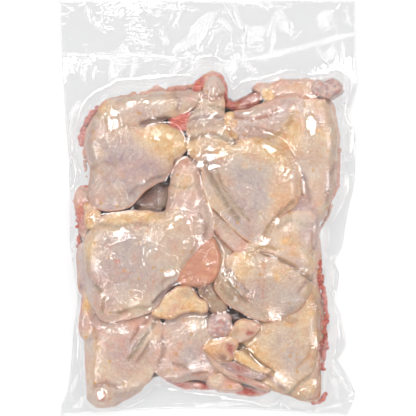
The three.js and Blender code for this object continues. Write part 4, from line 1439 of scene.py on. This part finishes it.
def meatMaterial(name, wetness, pores, bump, subsurface=0.12):
    material = bpy.data.materials.new(name)
    material.use_nodes = True
    tree = material.node_tree
    shader = tree.nodes["Principled BSDF"]
    tone = add(tree, "Attribute", attribute_name="tone")
    group = add(tree, "Group", node_tree=meatTones)
    tree.links.new(tone.outputs["Color"], group.inputs["Tone"])
    # the tone's alpha carries painted shade and blood
    tree.links.new(tone.outputs["Alpha"], group.inputs["ShadeAndBlood"])
    group.inputs["Wetness"].default_value = wetness
    group.inputs["Pores"].default_value = pores
    relief = add(tree, "Bump", {"Height": group.outputs["Height"], "Strength": bump, "Distance": 0.0006})
    tree.links.new(group.outputs["Color"], shader.inputs["Base Color"])
    tree.links.new(group.outputs["Roughness"], shader.inputs["Roughness"])
    tree.links.new(relief.outputs[0], shader.inputs["Normal"])
    shader.inputs["Specular IOR Level"].default_value = 0.35
    shader.inputs["Subsurface Weight"].default_value = subsurface
    shader.inputs["Subsurface Radius"].default_value = (1.0, 0.35, 0.2)
    shader.inputs["Subsurface Scale"].default_value = 0.004
    return material


# Cartilage: bluish white and rosy patches over the end of a bone.
def knuckleMaterial():
    material = bpy.data.materials.new("knuckleGristle")
    material.use_nodes = True
    tree = material.node_tree
    shader = tree.nodes["Principled BSDF"]
    where = add(tree, "TexCoord").outputs["Object"]
    patch = noiseAt(tree, where, 130, 3, 0.6, 0.6)
    colour = mixColour(tree, ramp(tree, patch, 0.4, 0.6), seen(220, 190, 178), seen(184, 154, 152))
    red = noiseAt(tree, where, 190, 3)
    colour = mixColour(tree, ramp(tree, red, 0.52, 0.64, 0.0, 0.6), colour, seen(206, 132, 114))
    white = noiseAt(tree, where, 240, 3)
    colour = mixColour(tree, ramp(tree, white, 0.58, 0.68, 0.0, 0.7), colour, palette["gristle"])
    tree.links.new(colour, shader.inputs["Base Color"])
    tree.links.new(ramp(tree, patch, 0.3, 0.7, 0.3, 0.5), shader.inputs["Roughness"])
    relief = add(tree, "Bump", {"Height": sums(tree, "ADD", patch, red), "Strength": 0.6, "Distance": 0.001})
    tree.links.new(relief.outputs[0], shader.inputs["Normal"])
    shader.inputs["Subsurface Weight"].default_value = 0.1
    shader.inputs["Subsurface Scale"].default_value = 0.003
    return material


# Clear film: the grain attribute holds the place along and across a fold, in mm, and how creased it is.
# The one smooth muscle without its skin: pale orange flesh.
def fleshMaterial():
    material = bpy.data.materials.new("paleMuscle")
    material.use_nodes = True
    tree = material.node_tree
    shader = tree.nodes["Principled BSDF"]
    where = add(tree, "TexCoord").outputs["Object"]
    fibre = add(tree, "Mapping", {"Vector": where, "Rotation": (0.0, 0.0, -0.8), "Scale": (1.0, 3.0, 1.0)}).outputs[0]
    strands = noiseAt(tree, fibre, 60, 2)
    colour = mixColour(tree, ramp(tree, strands, 0.35, 0.7), seen(222, 160, 132), seen(212, 146, 118))
    colour = mixColour(tree, ramp(tree, noiseAt(tree, where, 90, 3), 0.5, 0.7, 0.0, 0.5), colour, seen(236, 190, 150))
    tree.links.new(colour, shader.inputs["Base Color"])
    shader.inputs["Roughness"].default_value = 0.35
    relief = add(tree, "Bump", {"Height": strands, "Strength": 0.4, "Distance": 0.0006})
    tree.links.new(relief.outputs[0], shader.inputs["Normal"])
    shader.inputs["Subsurface Weight"].default_value = 0.2
    shader.inputs["Subsurface Radius"].default_value = (1.0, 0.35, 0.2)
    shader.inputs["Subsurface Scale"].default_value = 0.004
    return material


filmFinish = dict(
    tint=(0.974, 0.975, 0.976, 1.0),
    clinging=dict(mirror=0.05, roughness=0.15),  # wet against the skin
    loose=dict(mirror=0.12, roughness=0.05),
    creasePitch=2.4, creaseHeight=0.9, crinkleHeight=0.5, slackHeight=0.8, glintHeight=0.85,
)


# Height of the fine creasing in mm: ridges along each fold, crinkles between them and slack everywhere.
def creaseGroup():
    group, takes, gives = newGroup("filmCreases", [("Grain", "Vector")], [("Height", "Float")])
    where = add(group, "TexCoord").outputs["Object"]
    axes = add(group, "SeparateXYZ", {"Vector": takes["Grain"]}).outputs
    fold = add(group, "CombineXYZ", {"X": sums(group, "MULTIPLY", axes["X"], 0.35), "Y": axes["Y"]}).outputs[0]
    bend = sums(group, "MULTIPLY_ADD", noiseAt(group, fold, 0.13, 2), 9.0, axes["Y"])
    pitch = filmFinish["creasePitch"]
    ridges = sums(group, "MULTIPLY_ADD", sums(group, "SINE", sums(group, "MULTIPLY", bend, math.tau / pitch / 2)), 0.5, 0.5)
    dying = ramp(group, noiseAt(group, fold, 0.2, 2), 0.38, 0.6)
    crinkles = sums(group, "ABSOLUTE", sums(group, "SUBTRACT", noiseAt(group, fold, 0.45, 2, 0.5, 0.6), 0.5))
    height = sums(group, "MULTIPLY", sums(group, "MULTIPLY", ridges, dying), filmFinish["creaseHeight"])
    height = sums(group, "MULTIPLY_ADD", crinkles, -4.0 * filmFinish["crinkleHeight"], height)
    height = sums(group, "MULTIPLY", height, axes["Z"])
    slack = sums(group, "ABSOLUTE", sums(group, "SUBTRACT", noiseAt(group, where, 75, 2, 0.5, 0.5), 0.5))
    height = sums(group, "MULTIPLY_ADD", slack, -filmFinish["slackHeight"], height)
    stretched = add(group, "Mapping", {"Vector": where, "Rotation": (0.0, 0.0, 0.6), "Scale": (0.5, 1.0, 1.0)}).outputs[0]
    glint = sums(group, "ABSOLUTE", sums(group, "SUBTRACT", noiseAt(group, stretched, 210, 2, 0.5, 0.3), 0.5))
    here = ramp(group, noiseAt(group, where, 32, 2), 0.42, 0.62)
    glint = sums(group, "MULTIPLY", sums(group, "MULTIPLY", glint, here), -filmFinish["glintHeight"])
    group.links.new(sums(group, "ADD", height, glint), gives["Height"])
    return group


def filmMaterial():
    material = bpy.data.materials.new("clearFilm")
    material.use_nodes = True
    tree = material.node_tree
    gloss = tree.nodes["Principled BSDF"]
    gloss.inputs["Base Color"].default_value = (1, 1, 1, 1)
    gloss.inputs["Metallic"].default_value = 1.0
    loose = add(tree, "Attribute", attribute_name="loose").outputs["Fac"]
    clinging, free = filmFinish["clinging"], filmFinish["loose"]
    tree.links.new(ramp(tree, loose, 0.1, 0.7, clinging["roughness"], free["roughness"]), gloss.inputs["Roughness"])
    head = ramp(tree, loose, 0.1, 0.7, clinging["mirror"], free["mirror"])
    creases = add(tree, "Group", node_tree=creaseGroup())
    tree.links.new(add(tree, "Attribute", attribute_name="grain").outputs["Vector"], creases.inputs["Grain"])
    calm = ramp(tree, add(tree, "Attribute", attribute_name="flat").outputs["Fac"], 0.0, 0.5, 1.0, 0.09)
    height = sums(tree, "MULTIPLY", creases.outputs["Height"], calm)
    relief = add(tree, "Bump", {"Height": height, "Strength": 1.0, "Distance": mm})
    tree.links.new(relief.outputs[0], gloss.inputs["Normal"])
    facing = add(tree, "LayerWeight", {"Blend": 0.5, "Normal": relief.outputs[0]}).outputs["Facing"]
    mirror = sums(tree, "MULTIPLY_ADD", sums(tree, "POWER", facing, 4.0), 0.9, head, clamp=True)
    clear = add(tree, "BsdfTransparent", {"Color": filmFinish["tint"]})
    both = add(tree, "MixShader", {0: mirror, 1: clear.outputs[0], 2: gloss.outputs[0]})
    tree.links.new(both.outputs[0], tree.nodes["Material Output"].inputs["Surface"])
    return material


skinFinish = meatMaterial("rawSkin", 0.3, 0.8, 0.5)
fatFinish = meatMaterial("yellowFat", 0.5, 0.5, 0.7, 0.2)
meatFinish = meatMaterial("rawMeat", 0.7, 0.2, 0.8)
finishes = dict(skin=skinFinish, fat=fatFinish, meat=meatFinish, knuckle=knuckleMaterial(), flesh=fleshMaterial())


def dress(piece, material):
    piece.data.materials.clear()
    piece.data.materials.append(material)
    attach(piece, "root")


for piece in [*legs.values(), *lowerLegs.values()]:
    dress(piece, skinFinish)
for name, piece in leaves.items():
    dress(piece, finishes[flaps[name]["finish"]])
for name, piece in trimmings.items():
    dress(piece, finishes[scraps[name]["finish"]])
for piece in frayed.values():
    dress(piece, meatFinish)
dress(clearFilm, filmMaterial())
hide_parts("pouch")
print("dressed")

# ---- stage, light and camera ----

stage = dict(floorSize=6.0, floorDrop=0.3, glow=0.65)


def buildStage():
    bm = bmesh.new()
    bmesh.ops.create_grid(bm, x_segments=1, y_segments=1, size=stage["floorSize"] / 2)
    bmesh.ops.translate(bm, verts=bm.verts, vec=(0, 0, -stage["floorDrop"] * mm))
    floor = newPiece("floor", bm)
    paper = bpy.data.materials.new("whitePaper")
    paper.use_nodes = True
    shader = paper.node_tree.nodes["Principled BSDF"]
    shader.inputs["Base Color"].default_value = (0.36, 0.36, 0.36, 1)
    shader.inputs["Emission Color"].default_value = (1, 1, 1, 1)
    shader.inputs["Emission Strength"].default_value = stage["glow"]
    shader.inputs["Roughness"].default_value = 0.9
    shader.inputs["Specular IOR Level"].default_value = 0.0
    floor.data.materials.append(paper)
    floor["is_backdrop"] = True


def buildLights():
    for name, light in lights.items():
        lamp = bpy.data.lights.new(name, "AREA")
        lamp.size = light["size"]
        lamp.energy = light["power"]
        holder = bpy.data.objects.new(name, lamp)
        holder.location = lampPlace(light)
        holder.rotation_euler = (-holder.location).to_track_quat("-Z", "Y").to_euler()
        bpy.context.collection.objects.link(holder)
    world = bpy.data.worlds.new("studio")
    world.use_nodes = True
    world.node_tree.nodes["Background"].inputs["Color"].default_value = (1, 1, 1, 1)
    world.node_tree.nodes["Background"].inputs["Strength"].default_value = worldLight["strength"]
    bpy.context.scene.world = world


def buildCamera():
    data = bpy.data.cameras.new("fromAbove")
    data.sensor_width = camera["sensor"]
    data.lens = camera["sensor"] * camera["distance"] / (camera["frameWidth"] * mm)
    data.clip_end = 20
    holder = bpy.data.objects.new("fromAbove", data)
    holder.location = (camera["x"] * mm, camera["y"] * mm, camera["distance"])
    bpy.context.collection.objects.link(holder)
    bpy.context.scene.camera = holder


buildStage()
buildLights()
buildCamera()
bpy.context.scene.view_settings.view_transform = "Standard"

low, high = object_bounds()
